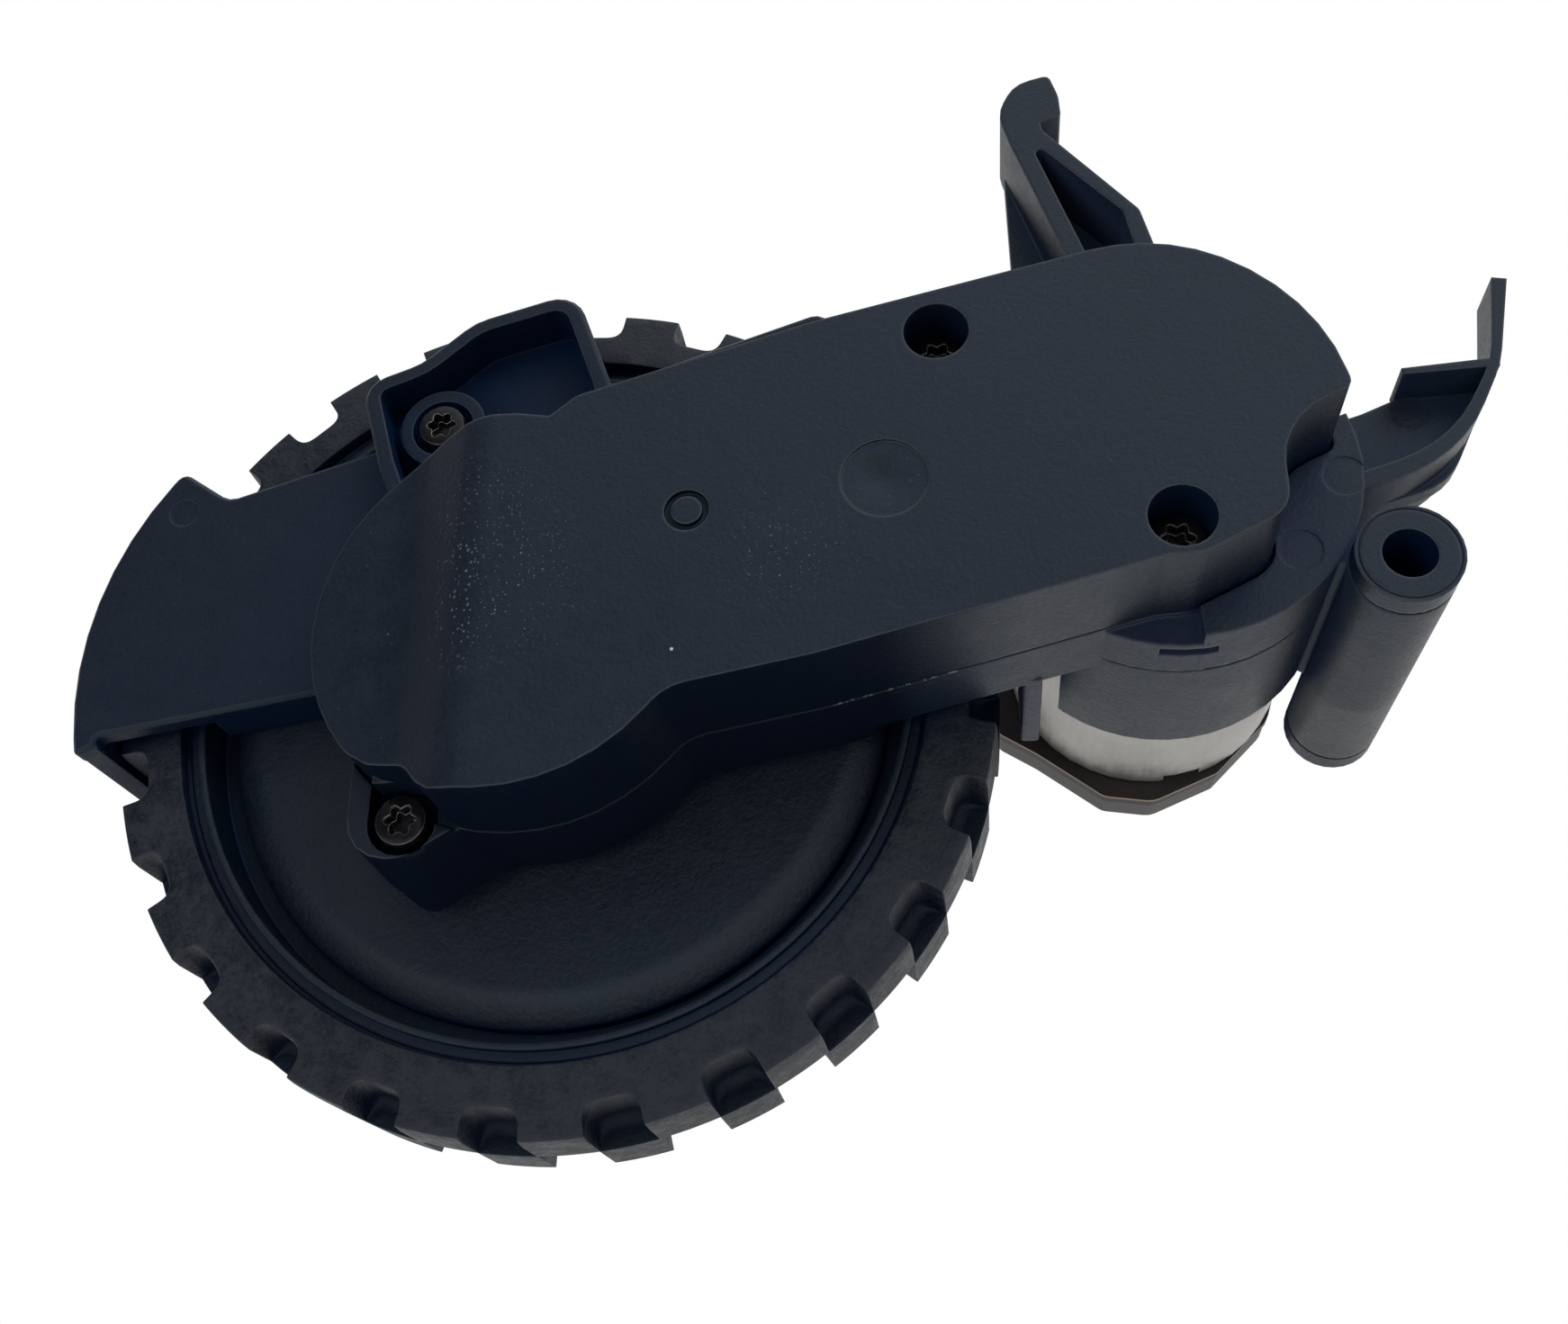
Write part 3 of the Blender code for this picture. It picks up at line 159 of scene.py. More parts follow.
class Finish:
    # a material with its shader and the patterns that most finishes here use
    def __init__(self, name, fixed):
        self.material = bpy.data.materials.new(name)
        self.material.use_nodes = True
        self.tree = self.material.node_tree
        self.tree.nodes.clear()
        self.shader = self.tree.nodes.new("ShaderNodeBsdfPrincipled")
        self.end = self.tree.nodes.new("ShaderNodeOutputMaterial")
        self.tree.links.new(self.shader.outputs[0], self.end.inputs[0])
        for socket, value in fixed.items():
            self.shader.inputs[socket].default_value = value
        self.place = self.node("ShaderNodeTexCoord").out("Object")

    def node(self, kind, settings=None, sockets=None, output=0):
        return addNode(self.tree, kind, settings, sockets, output)

    def vectors(self, operation, first, second, output=0):
        return self.node("ShaderNodeVectorMath", {"operation": operation}, {0: first, 1: second}, output)

    def noise(self, size, detail=2.0, rough=0.5, place=None):
        # size is how far apart the blotches are, in metres
        return self.node("ShaderNodeTexNoise", {}, {
            "Vector": place or self.place, "Scale": 1.0 / size, "Detail": detail, "Roughness": rough})

    def slope(self, value, start, end, first=0.0, last=1.0):
        # from first to last while the value goes from start to end
        return self.node("ShaderNodeMapRange", {"clamp": True}, {
            0: value, 1: start, 2: end, 3: first, 4: last})

    def contrast(self, value, ends, level=1.0):
        # 0 at the first end, the level at the second
        stops = [(ends[0], grey(0.0)), (ends[1], grey(level))]
        return self.node("ShaderNodeValToRGB", {"stops": stops}, {0: value})

    def mix(self, factor, first, second):
        # two colours
        made = self.node("ShaderNodeMix", {"data_type": "RGBA"}, {0: factor}, 2)
        for index, value in ((6, first), (7, second)):
            if isinstance(value, Wire):
                self.tree.links.new(value.socket, made.socket.node.inputs[index])
            else:
                made.socket.node.inputs[index].default_value = (*value, 1.0)
        return made

    def rounded(self, radius):
        # the normal as if the edges were rounded, and where those edges are
        soft = self.node("ShaderNodeBevel", {"samples": 6}, {"Radius": radius})
        return soft, 1.0 - self.vectors("DOT_PRODUCT", soft, self.facing(), 1)

    def facing(self):
        return self.node("ShaderNodeNewGeometry").out("Normal")

    def part(self, vector, axis):
        # one of a vector's three numbers
        return self.node("ShaderNodeSeparateXYZ", {}, {0: vector}).out(axis)

    def distance(self, point, place=None):
        return self.vectors("DISTANCE", place or self.place, point, 1)

    def specks(self, spacing, size, share):
        # sparse round specks of different sizes
        cells = self.node("ShaderNodeTexVoronoi", {"feature": "F1"}, {
            "Vector": self.place, "Scale": 1.0 / spacing, "Randomness": 1.0}, "Distance")
        draw = self.node("ShaderNodeSeparateColor", {}, {0: cells.out("Color")})
        return (cells < draw.out("Green") * (size / spacing)) * (draw < share)

    def near(self, middle, reach):
        # 1 at the place, 0 at the reach away from it
        return self.slope(self.distance(middle), reach, 0.0)

    def between(self, low, high):
        # 1 in the box between two corners
        inside = None
        for axis, start, end in zip("XYZ", low, high):
            value = self.part(self.place, axis)
            within = (value > start) * (value < end)
            inside = within if inside is None else inside * within
        return inside

    def behind(self, sleeve):
        # 1 on a rod along the axle's direction, from a wavering line backwards
        start = sleeve["axis"]
        flat = self.vectors("MULTIPLY", self.place, (1.0, 0.0, 1.0))
        away = self.distance((start.x, 0.0, start.z), flat)
        depth = self.part(self.place, "Y") + sleeve["waver"] * (self.noise(sleeve["wave"]) - 0.5)
        return self.slope(depth, start.y, start.y + sleeve["soften"]) * (away < sleeve["radius"])

    def dull(self, colour):
        return self.node("ShaderNodeBsdfDiffuse", {}, {"Color": (*colour, 1.0)})

    def blend(self, factor, first, second):
        # two shaders
        return self.node("ShaderNodeMixShader", {}, {0: factor, 1: first, 2: second})

    def hollows(self, reach, colour, deepest, shallowest, under=None):
        # painted shade: inner corners and pockets lose their gloss to a dark diffuse colour, and so do the
        # walls above the wheel that face down; further out the painted colour is a lighter one
        unshut = self.node("ShaderNodeAmbientOcclusion", {"samples": 8}, {"Distance": reach}, "AO")
        shut = self.slope(unshut, deepest, shallowest, 1.0, 0.0)
        grime = self.dull(colour)
        if under:
            down = self.slope(self.part(self.facing(), "Z"), *under["turned"], 0.0, under["level"])
            side = self.slope(self.part(self.place, "X"), under["to"], under["from"])
            shut = self.node("ShaderNodeMath", {"operation": "MAXIMUM"}, {0: shut, 1: down * side})
            grime = self.blend(side, self.dull(under["far"]), grime)
        both = self.blend(shut, Wire(self.tree, self.shader.outputs[0]), grime)
        self.tree.links.new(both.socket, self.end.inputs[0])

    def bump(self, height, depth, normal=None):
        sockets = {"Height": height, "Distance": depth, "Strength": 1.0}
        if normal:
            sockets["Normal"] = normal
        return self.node("ShaderNodeBump", {}, sockets)

    def use(self, **values):
        names = {"colour": "Base Color", "roughness": "Roughness", "normal": "Normal"}
        for name, wire in values.items():
            self.tree.links.new(wire.socket, self.shader.inputs[names[name]])
        return self.material


# in these patterns a noise is its size, detail and roughness, a speck pattern its spacing, size and share,
# a contrast the two values that become black and white, and an edge mark how evenly the edges are lightened,
# by wear with painted highlight on plastic, by wear on rubber and by painted glints on metal
plasticPattern = {"patches": (0.0021, 4.0, 0.65), "clouds": (0.017, 3.0, 0.6), "weights": (0.35, 0.40, 0.25),
                  "contrast": (0.36, 0.64), "evenEdge": 0.5, "edgeMark": (0.06, 0.30),
                  "coarseDust": (0.0016, 0.00014, 0.30), "fineDust": (0.0007, 0.00010, 0.40),
                  "fineShare": 0.4, "cloudDust": (0.00030, 0.00013, 0.62), "cloud": (0.0016, 4.0),
                  "cloudLeast": 0.35, "cloudMore": 1.3, "cloudEdge": (0.15, 0.95), "cloudLevel": 0.85,
                  "dashes": (0.0007, 3.0, 0.8), "dashEdge": (0.50, 0.56), "deepest": 0.20,
                  "roughness": {"shade": 0.12, "grain": 0.16, "wearAndHighlight": 0.08}, "height": (0.8, 0.5)}
rubberPattern = {"fine": (0.00034, 3.0, 0.6), "patches": (0.0013, 5.0, 0.72), "clouds": (0.006, 3.0, 0.6),
                 "weights": (0.45, 0.25, 0.30), "contrast": (0.43, 0.58), "evenEdge": 0.4, "edgeMark": (0.06, 0.35),
                 "rubLevel": 0.6, "dust": (0.0030, 0.00016, 0.20), "dustLevel": 0.7,
                 "dustColour": (0.16, 0.16, 0.17), "roughness": {"shade": 0.22, "edgeMark": 0.10},
                 "height": (0.5, 0.9), "reach": 0.0045, "deepest": 0.30, "open": 0.84}
# the metal's bright colour is a painted glint on edges
metalPattern = {"patches": (0.0030, 3.0, 0.6), "weights": (0.5, 0.5), "contrast": (0.34, 0.66),
                "evenEdge": 0.5, "edgeMark": (0.05, 0.30), "bright": (0.85, 0.85, 0.84), "roughness": 0.14,
                "gloss": 0.5}


def weighted(weights, *values):
    total = values[0] * weights[0]
    for weight, value in zip(weights[1:], values[1:]):
        total = total + value * weight
    return total


def mouldedPlastic(name, look):
    pattern = plasticPattern
    finish = Finish(name, {"Specular IOR Level": look["gloss"], "Specular Tint": (*look["sheen"], 1.0)})
    soft, edge = finish.rounded(look["edge"])
    grain = finish.noise(look["grain"], 2.0, 0.6)
    patches = finish.noise(*pattern["patches"])
    clouds = finish.noise(*pattern["clouds"])
    shade = finish.contrast(weighted(pattern["weights"], patches, clouds, grain), pattern["contrast"])
    colour = finish.mix(shade, look["dark"], look["light"])
    # the edges are lightened towards the edge colour, partly wear and partly painted highlight, and are a
    # little glossier there
    wearAndHighlight = finish.contrast(edge * (pattern["evenEdge"] + patches), pattern["edgeMark"])
    colour = finish.mix(wearAndHighlight * look["wearAndHighlight"], colour, look["worn"])
    dust = finish.specks(*pattern["coarseDust"]) + finish.specks(*pattern["fineDust"]) * pattern["fineShare"]
    dust = dust * look["dust"]
    for middle, reach in look["dustPlaces"]:
        uneven = pattern["cloudLeast"] + finish.noise(*pattern["cloud"]) * pattern["cloudMore"]
        cloud = finish.near(middle, reach) * uneven
        share = finish.contrast(cloud, pattern["cloudEdge"], pattern["cloudLevel"])
        dust = dust + finish.specks(*pattern["cloudDust"]) * share
    colour = finish.mix(dust, colour, look["dustColour"])
    for middle, radius, soften, level, tint in look["patches"]:
        spot = finish.slope(finish.distance(middle), radius + soften, radius)
        colour = finish.mix(spot * level, colour, tint)
    for low, high, level, tint in look["scuffs"]:
        dashes = finish.contrast(finish.noise(*pattern["dashes"]), pattern["dashEdge"])
        colour = finish.mix(finish.between(low, high) * dashes * level, colour, tint)
    for sleeve in look["sleeves"]:
        colour = finish.mix(finish.behind(sleeve) * sleeve["level"], colour, sleeve["tint"])
    change = pattern["roughness"]
    roughness = look["roughness"] + change["shade"] * shade + change["grain"] * (grain - 0.5)
    roughness = roughness - change["wearAndHighlight"] * wearAndHighlight
    normal = finish.bump(weighted(pattern["height"], grain, patches), look["depth"], soft)
    # painted shade in hollows, with the dark grime colour
    if look["grime"]:
        finish.hollows(look["reach"], look["grime"], pattern["deepest"], look["open"], look["under"])
    return finish.use(colour=colour, roughness=roughness, normal=normal)


def mouldedRubber(name, look):
    pattern = rubberPattern
    finish = Finish(name, {"Specular IOR Level": look["gloss"], "Specular Tint": (*look["sheen"], 1.0)})
    soft, edge = finish.rounded(look["edge"])
    fine = finish.noise(*pattern["fine"])
    patches = finish.noise(*pattern["patches"])
    clouds = finish.noise(*pattern["clouds"])
    shade = finish.contrast(weighted(pattern["weights"], patches, clouds, fine), pattern["contrast"])
    colour = finish.mix(shade, look["dark"], look["light"])
    rubbed = finish.contrast(edge * (pattern["evenEdge"] + patches), pattern["edgeMark"])
    colour = finish.mix(rubbed * pattern["rubLevel"], colour, look["worn"])
    colour = finish.mix(finish.specks(*pattern["dust"]) * pattern["dustLevel"], colour, pattern["dustColour"])
    change = pattern["roughness"]
    roughness = look["roughness"] + change["shade"] * (shade - 0.5) - change["edgeMark"] * rubbed
    normal = finish.bump(weighted(pattern["height"], fine, patches), look["depth"], soft)
    # painted shade in the tread's hollows, with a dark colour
    finish.hollows(pattern["reach"], look["grime"], pattern["deepest"], pattern["open"])
    return finish.use(colour=colour, roughness=roughness, normal=normal)


def machinedMetal(name, look):
    pattern = metalPattern
    finish = Finish(name, {"Specular IOR Level": pattern["gloss"], "Metallic": look["metallic"]})
    soft, edge = finish.rounded(look["edge"])
    stretched = finish.node("ShaderNodeMapping", {}, {0: finish.place, 3: look["stretch"]})
    lines = finish.noise(look["grain"], 4.0, 0.6, stretched)
    patches = finish.noise(*pattern["patches"])
    shade = finish.contrast(weighted(pattern["weights"], lines, patches), pattern["contrast"])
    colour = finish.mix(shade, look["dark"], look["light"])
    # painted glints: the edges are lightened towards the bright colour
    bright = finish.contrast(edge * (pattern["evenEdge"] + lines), pattern["edgeMark"])
    colour = finish.mix(bright * look["edgeShine"], colour, pattern["bright"])
    roughness = look["roughness"] + pattern["roughness"] * shade
    normal = finish.bump(lines, look["depth"], soft)
    return finish.use(colour=colour, roughness=roughness, normal=normal)


tyreWidth = 11.6  # at the rim; the tyre's side bulges a little in front of it
wheelLow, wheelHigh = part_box("tyre")
wheelMiddle = (wheelLow + wheelHigh) / 2
wheelFace = wheelHigh.y - tyreWidth / 1000


def fromWheel(x, y, z):
    # millimetres from the wheel's centre on the tyre's front plane
    return Vector((wheelMiddle.x + x / 1000, wheelFace + y / 1000, wheelMiddle.z + z / 1000))


def changed(look, **others):
    return {**look, **others}


# the edge colour is partly wear and partly painted highlight, and grime is the colour of painted shade in
# hollows
plasticLook = {"dark": (0.0015, 0.0042, 0.0115), "light": (0.0036, 0.0068, 0.0150),
               "worn": (0.050, 0.058, 0.070), "roughness": 0.38, "gloss": 0.46,
               "sheen": (0.80, 0.92, 1.0), "grain": 0.00034,
               "depth": 0.000048, "edge": 0.00034, "wearAndHighlight": 0.90,
               "dust": 0.35, "dustColour": (0.075, 0.095, 0.105), "dustPlaces": [], "patches": [],
               "grime": (0.0026, 0.0105, 0.0340), "reach": 0.0090, "open": 0.74,
               "under": None, "scuffs": [], "sleeves": []}

# the walls above the wheel: painted shade where they face down, a lighter painted colour in the hollows
# further out, and the scuffs along their seam
wheelSide = {"from": fromWheel(27, 0, 0).x, "to": fromWheel(37, 0, 0).x, "turned": (-0.30, -0.80),
             "level": 0.85, "far": (0.0040, 0.0110, 0.0300)}
scuffs = [(fromWheel(23, -8.14, -9), fromWheel(32.5, -7.93, 0), 0.85, (0.40, 0.41, 0.42)),
          (fromWheel(21, -7.30, -9), fromWheel(33, -7.22, 0), 0.35, (0.20, 0.21, 0.22))]
wallLook = changed(plasticLook, under=wheelSide, scuffs=scuffs, grime=(0.0024, 0.0050, 0.0125))

# each cloud of dust has its middle and reach, each spot its middle, radius, soft rim, level and colour
coverDust = [(fromWheel(1.8, -15.5, 0.2), 0.0085), (fromWheel(-0.3, -14.5, -3.0), 0.0060),
             (fromWheel(0.6, -15.5, 5.5), 0.0075), (fromWheel(20.4, -17.4, 2.0), 0.0070)]
coverSpots = [(fromWheel(26.95, -17.1, 8.1), 0.0003, 0.0012, 0.75, (0.0005, 0.0015, 0.0040)),
              (fromWheel(12.92, -17.4, -5.4), 0.00009, 0.00005, 0.9, (0.42, 0.38, 0.30))]
coverFinish = mouldedPlastic("coverPlastic", changed(wallLook, dustPlaces=coverDust, patches=coverSpots))

# the pivot tube is lighter from here backwards
tubeSleeve = {"axis": fromWheel(63.2, 8.0, 2.3), "radius": 0.0043, "level": 0.8,
              "tint": (0.040, 0.038, 0.038), "waver": 0.004, "wave": 0.009, "soften": 0.0008}
# on the housing the painted shade away from the wheel is a much lighter blue
housingFinish = mouldedPlastic("housingPlastic", changed(
    wallLook, sleeves=[tubeSleeve], under=changed(wheelSide, far=(0.022, 0.034, 0.066)), dust=0.1))
guardFinish = mouldedPlastic("guardPlastic", changed(
    plasticLook, roughness=0.44, gloss=0.36, reach=0.0140, open=0.92))
hubFinish = mouldedPlastic("hubPlastic", changed(
    plasticLook, roughness=0.44, grain=0.00036, depth=0.000075, reach=0.0030, open=0.62, dust=0.0))
bushFinish = mouldedPlastic("bushPlastic", changed(plasticLook, roughness=0.32, dust=0.0))

neutralLook = changed(plasticLook, grime=None, sheen=grey(1.0), dust=0.0)
capFinish = mouldedPlastic("capPlastic", changed(
    neutralLook, dark=(0.055, 0.052, 0.050), light=(0.080, 0.077, 0.074), worn=(0.12, 0.12, 0.12),
    roughness=0.50, dust=0.1))
gearFinish = mouldedPlastic("gearPlastic", changed(
    neutralLook, dark=(0.56, 0.55, 0.50), light=(0.66, 0.65, 0.60), worn=(0.75, 0.74, 0.70)))
magnetFinish = mouldedPlastic("magnetFerrite", changed(
    neutralLook, dark=(0.050, 0.050, 0.054), light=(0.090, 0.090, 0.095), roughness=0.5))
# the tyre's grime colour is painted shade in its notches
tyreFinish = mouldedRubber("tyreRubber", {
    "dark": (0.0010, 0.0026, 0.0070), "light": (0.0100, 0.0122, 0.0170), "worn": (0.040, 0.041, 0.044),
    "sheen": (0.82, 0.92, 1.0), "grime": (0.0024, 0.0070, 0.0210), "roughness": 0.52, "gloss": 0.42,
    "depth": 0.00012, "edge": 0.00020})

steelLook = {"metallic": 1.0, "edgeShine": 0.0, "stretch": (1.0, 1.0, 1.0), "grain": 0.0004,
             "depth": 0.000004, "edge": 0.00008}
# the screws' edges carry painted glints
screwFinish = machinedMetal("blackScrew", changed(
    steelLook, metallic=0.5, dark=(0.004, 0.004, 0.006), light=(0.014, 0.014, 0.017), roughness=0.14,
    edge=0.00013, edgeShine=1.0))
shaftFinish = machinedMetal("groundSteel", changed(
    steelLook, dark=(0.50, 0.50, 0.51), light=(0.62, 0.62, 0.63), roughness=0.18, stretch=(1.0, 8.0, 1.0)))
canFinish = machinedMetal("motorCanSteel", changed(
    steelLook, metallic=0.85, dark=(0.38, 0.37, 0.34), light=(0.50, 0.49, 0.46), roughness=0.34,
    stretch=(1.0, 0.15, 1.0)))
bronzeFinish = machinedMetal("sinteredBronze", changed(
    steelLook, dark=(0.32, 0.21, 0.10), light=(0.46, 0.32, 0.16), roughness=0.38, depth=0.00001))
brassFinish = machinedMetal("pinionBrass", changed(
    steelLook, dark=(0.52, 0.38, 0.17), light=(0.66, 0.50, 0.25), roughness=0.24))


def boardLaminate(name, look):
    # dark all over but for the bare strip along its front edge
    finish = Finish(name, {"Specular IOR Level": look["gloss"]})
    depth = finish.part(finish.place, "Y")
    strip = (depth > look["front"] + look["skin"]) * (depth < look["front"] + look["strip"])
    fibres = finish.noise(*look["fibres"])
    bare = finish.mix(fibres, look["bareDark"], look["bareLight"])
    mask = finish.mix(fibres, look["dark"], look["light"])
    colour = finish.mix(strip, mask, bare)
    roughness = look["roughness"] + look["uneven"] * fibres
    return finish.use(colour=colour, roughness=roughness, normal=finish.bump(fibres, look["depth"]))


boardFinish = boardLaminate("boardLaminate", {
    "front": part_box("encoder_board")[0].y, "skin": 0.00004, "strip": 0.00040, "gloss": 0.4,
    "dark": (0.010, 0.008, 0.008), "light": (0.018, 0.014, 0.013), "bareDark": (0.17, 0.11, 0.07),
    "bareLight": (0.30, 0.20, 0.13), "fibres": (0.0009, 4.0, 0.6), "roughness": 0.42, "uneven": 0.15,
    "depth": 0.00001})
finishes = {"gearbox_cover": coverFinish, "gearbox_housing": housingFinish, "mudguard": guardFinish,
            "wheel_hub": hubFinish, "tyre": tyreFinish,
            "pivot_bush_front": bushFinish, "pivot_bush_rear": bushFinish,
            "motor_end_cap": capFinish, "motor_can": canFinish, "encoder_board": boardFinish,
            "encoder_magnet": magnetFinish, "motor_pinion": brassFinish,
            "output_bush_front": bronzeFinish, "output_bush_rear": bronzeFinish,
            "output_shaft": shaftFinish, "motor_shaft": shaftFinish}
for name in frame["nodes"]:
    if "screw" in name:
        finishes[name] = screwFinish
    elif "pin_" in name:
        finishes[name] = shaftFinish
    elif "gear_" in name and name not in finishes or name == "output_gear":
        finishes[name] = gearFinish
print("finishes made")


def newPiece(name, mesh):
    piece = bpy.data.objects.new(name, mesh)
    scene.collection.objects.link(piece)
    return piece


def evaluated(piece):
    return bpy.data.meshes.new_from_object(piece.evaluated_get(bpy.context.evaluated_depsgraph_get()))


def shaded(piece, edgeAngle):
    # smooth between the real edges, with the flat faces kept flat
    bm = bmesh.new()
    bm.from_mesh(piece.data)
    for face in bm.faces:
        face.smooth = True
    for edge in bm.edges:
        edge.smooth = len(edge.link_faces) == 2 and edge.calc_face_angle(0.0) < math.radians(edgeAngle)
    bm.to_mesh(piece.data)
    bm.free()
    for extra in [a.name for a in piece.data.attributes if a.name == "custom_normal"]:
        piece.data.attributes.remove(piece.data.attributes[extra])
    even = piece.modifiers.new("even", "WEIGHTED_NORMAL")
    even.keep_sharp = True
    whole = evaluated(piece)
    piece.modifiers.remove(even)
    piece.data = whole


def settled(piece, node, *more):
    # the finish, the body and the CAD nodes that the piece stands for
    piece.data.materials.clear()
    piece.data.materials.append(finishes[node])
    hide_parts(node, *more)
    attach(piece, frame["nodes"][node]["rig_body"])


def joined(piece, other, operation):
    # a Boolean between two closed meshes, applied; the other one goes
    working = piece.modifiers.new("join", "BOOLEAN")
    working.object = other
    working.operation = operation
    working.solver = "EXACT"
    whole = evaluated(piece)
    piece.modifiers.remove(working)
    piece.data = whole
    bpy.data.objects.remove(other, do_unlink=True)


def rod(bm, start, end, radius, sides=40):
    # a closed cylinder between two points
    along = end - start
    turn = along.to_track_quat("Z", "Y").to_matrix().to_4x4()
    bmesh.ops.create_cone(bm, cap_ends=True, segments=sides, radius1=radius, radius2=radius,
                          depth=along.length, matrix=Matrix.Translation((start + end) / 2) @ turn)


def lathe(bm, x, z, profile, columns):
    # a profile of (radius, depth) in millimetres, turned about a line along the axle's direction
    rings = []
    for radius, depth in profile:
        count = columns if radius else 1
        ring = []
        for i in range(count):
            angle = math.tau * i / columns
            point = fromWheel(x + radius * math.cos(angle), depth, z + radius * math.sin(angle))
            ring.append(bm.verts.new(point))
        rings.append(ring)
    for near, far in zip(rings, rings[1:]):
        for i in range(columns):
            corners = [near[i % len(near)], near[(i + 1) % len(near)],
                       far[(i + 1) % len(far)], far[i % len(far)]]
            bm.faces.new([v for k, v in enumerate(corners) if v not in corners[:k]])
    bmesh.ops.remove_doubles(bm, verts=bm.verts, dist=1e-8)
    bmesh.ops.recalc_face_normals(bm, faces=bm.faces)


def fromMesh(name, make):
    # a new piece from the function that fills its mesh
    bm = bmesh.new()
    make(bm)
    mesh = bpy.data.meshes.new(name)
    bm.to_mesh(mesh)
    bm.free()
    return newPiece(name, mesh)


def block(bm, low, high, turn=0.0):
    # a closed box between two corners, turned about the axle's direction
    middle = (low + high) / 2
    size = high - low
    bmesh.ops.create_cube(bm, size=1.0, matrix=Matrix.Translation(middle) @ Matrix.Rotation(turn, 4, "Y")
                          @ Matrix.Diagonal((*size, 1.0)))


def refined(node, cut):
    # a copy of the CAD mesh, merged, with shallow marks cut in it
    bm = bmesh.new()
    bm.from_mesh(frame["nodes"][node].data)
    bmesh.ops.remove_doubles(bm, verts=bm.verts, dist=1e-6)
    mesh = bpy.data.meshes.new(node + "_surface")
    bm.to_mesh(mesh)
    bm.free()
    piece = newPiece(node + "_surface", mesh)
    if cut:
        joined(piece, fromMesh("cutter", cut), "DIFFERENCE")
    shaded(piece, 32.0)
    settled(piece, node)


for name, node in frame["nodes"].items():
    node.data.materials.clear()
    node.data.materials.append(finishes[name])

# shallow marks, in millimetres: a pit is its x, plane, z and radius from the wheel's centre, and the tools
# stand out in front of the faces
marks = {"depth": 0.10, "tool": 1.0,
         "housing": [(60.2, -9.2, 10.0, 1.6), (56.4, -9.2, 4.2, 1.6), (65.9, -9.2, 15.6, 1.6),
                     (66.9, -4.4, 17.95, 1.4)],
         "slot": [(46.25, -7.0, -2.6), (50.43, -5.9, -1.75)],
         "guard": (-30.9, -3.4, 15.3, 1.2),
         "dishMiddle": (27.4, 7.0),
         "dish": [(0, -18.4), (2.95, -18.4), (2.95, -17.19), (2.2, -17.15), (1.2, -17.07), (0.5, -16.98),
                  (0, -16.96)],
         "bushRing": (0.90, 0.94), "windows": (-78.0, 102.0),
         "windowLow": (0.8, 1.1, 1.6), "windowHigh": (0.8, 1.0, 1.6)}


def pit(bm, x, plane, z, radius):
    # a shallow round mark in a face towards the viewer
    rod(bm, fromWheel(x, plane - marks["tool"], z), fromWheel(x, plane + marks["depth"], z), radius / 1000)


def housingMarks(bm):
    for place in marks["housing"]:
        pit(bm, *place)
    low, high = marks["slot"]
    block(bm, fromWheel(*low), fromWheel(*high))


def coverMarks(bm):
    # the shallow dish over the second pin
    lathe(bm, *marks["dishMiddle"], marks["dish"], 64)


def guardMarks(bm):
    pit(bm, *marks["guard"])


def bushMarks(bm):
    # a thin groove near the rim of the front face
    low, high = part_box("pivot_bush_front")
    radius = (high.x - low.x) / 2 * 1000
    inner, outer = (radius * share for share in marks["bushRing"])
    x, z = ((low + high) / 2 - fromWheel(0, 0, 0)).xz * 1000
    face = (low.y - fromWheel(0, 0, 0).y) * 1000
    front, back = face - marks["tool"], face + marks["depth"]
    lathe(bm, x, z, [(inner, front), (outer, front), (outer, back), (inner, back), (inner, front)], 96)


def canMarks(bm):
    # two windows at the can's far edge
    low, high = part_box("motor_can")
    middle = (low + high) / 2
    radius = (high.x - low.x) / 2
    for angle in marks["windows"]:
        turn = math.radians(angle)
        at = Vector((middle.x + radius * math.cos(turn), high.y, middle.z + radius * math.sin(turn)))
        block(bm, at - Vector(marks["windowLow"]) / 1000, at + Vector(marks["windowHigh"]) / 1000, -turn)


cuts = {"gearbox_cover": coverMarks, "gearbox_housing": housingMarks, "mudguard": guardMarks,
        "motor_can": canMarks, "motor_end_cap": None, "encoder_board": None,
        "pivot_bush_front": bushMarks, "pivot_bush_rear": None}
for name, cut in cuts.items():
    refined(name, cut)
print("moulded surfaces refined")


def slab(name, outline, thickness, angle):
    # a plate of (radius, depth) outline that stands on the axle's radius
    turn = math.radians(angle)
    outwards, sideways = (math.cos(turn), math.sin(turn)), (-math.sin(turn), math.cos(turn))
    bm = bmesh.new()
    sides = []
    for across in (-thickness / 2, thickness / 2):
        side = []
        for radius, depth in outline:
            x, z = (radius * out + across * aside for out, aside in zip(outwards, sideways))
            side.append(bm.verts.new(fromWheel(x, depth, z)))
        sides.append(side)
    bm.faces.new(sides[0])
    bm.faces.new(sides[1][::-1])
    for i in range(len(outline)):
        bm.faces.new((sides[0][i - 1], sides[0][i], sides[1][i], sides[1][i - 1]))
    bmesh.ops.recalc_face_normals(bm, faces=bm.faces)
    mesh = bpy.data.meshes.new(name)
    bm.to_mesh(mesh)
    bm.free()
    return newPiece(name, mesh)


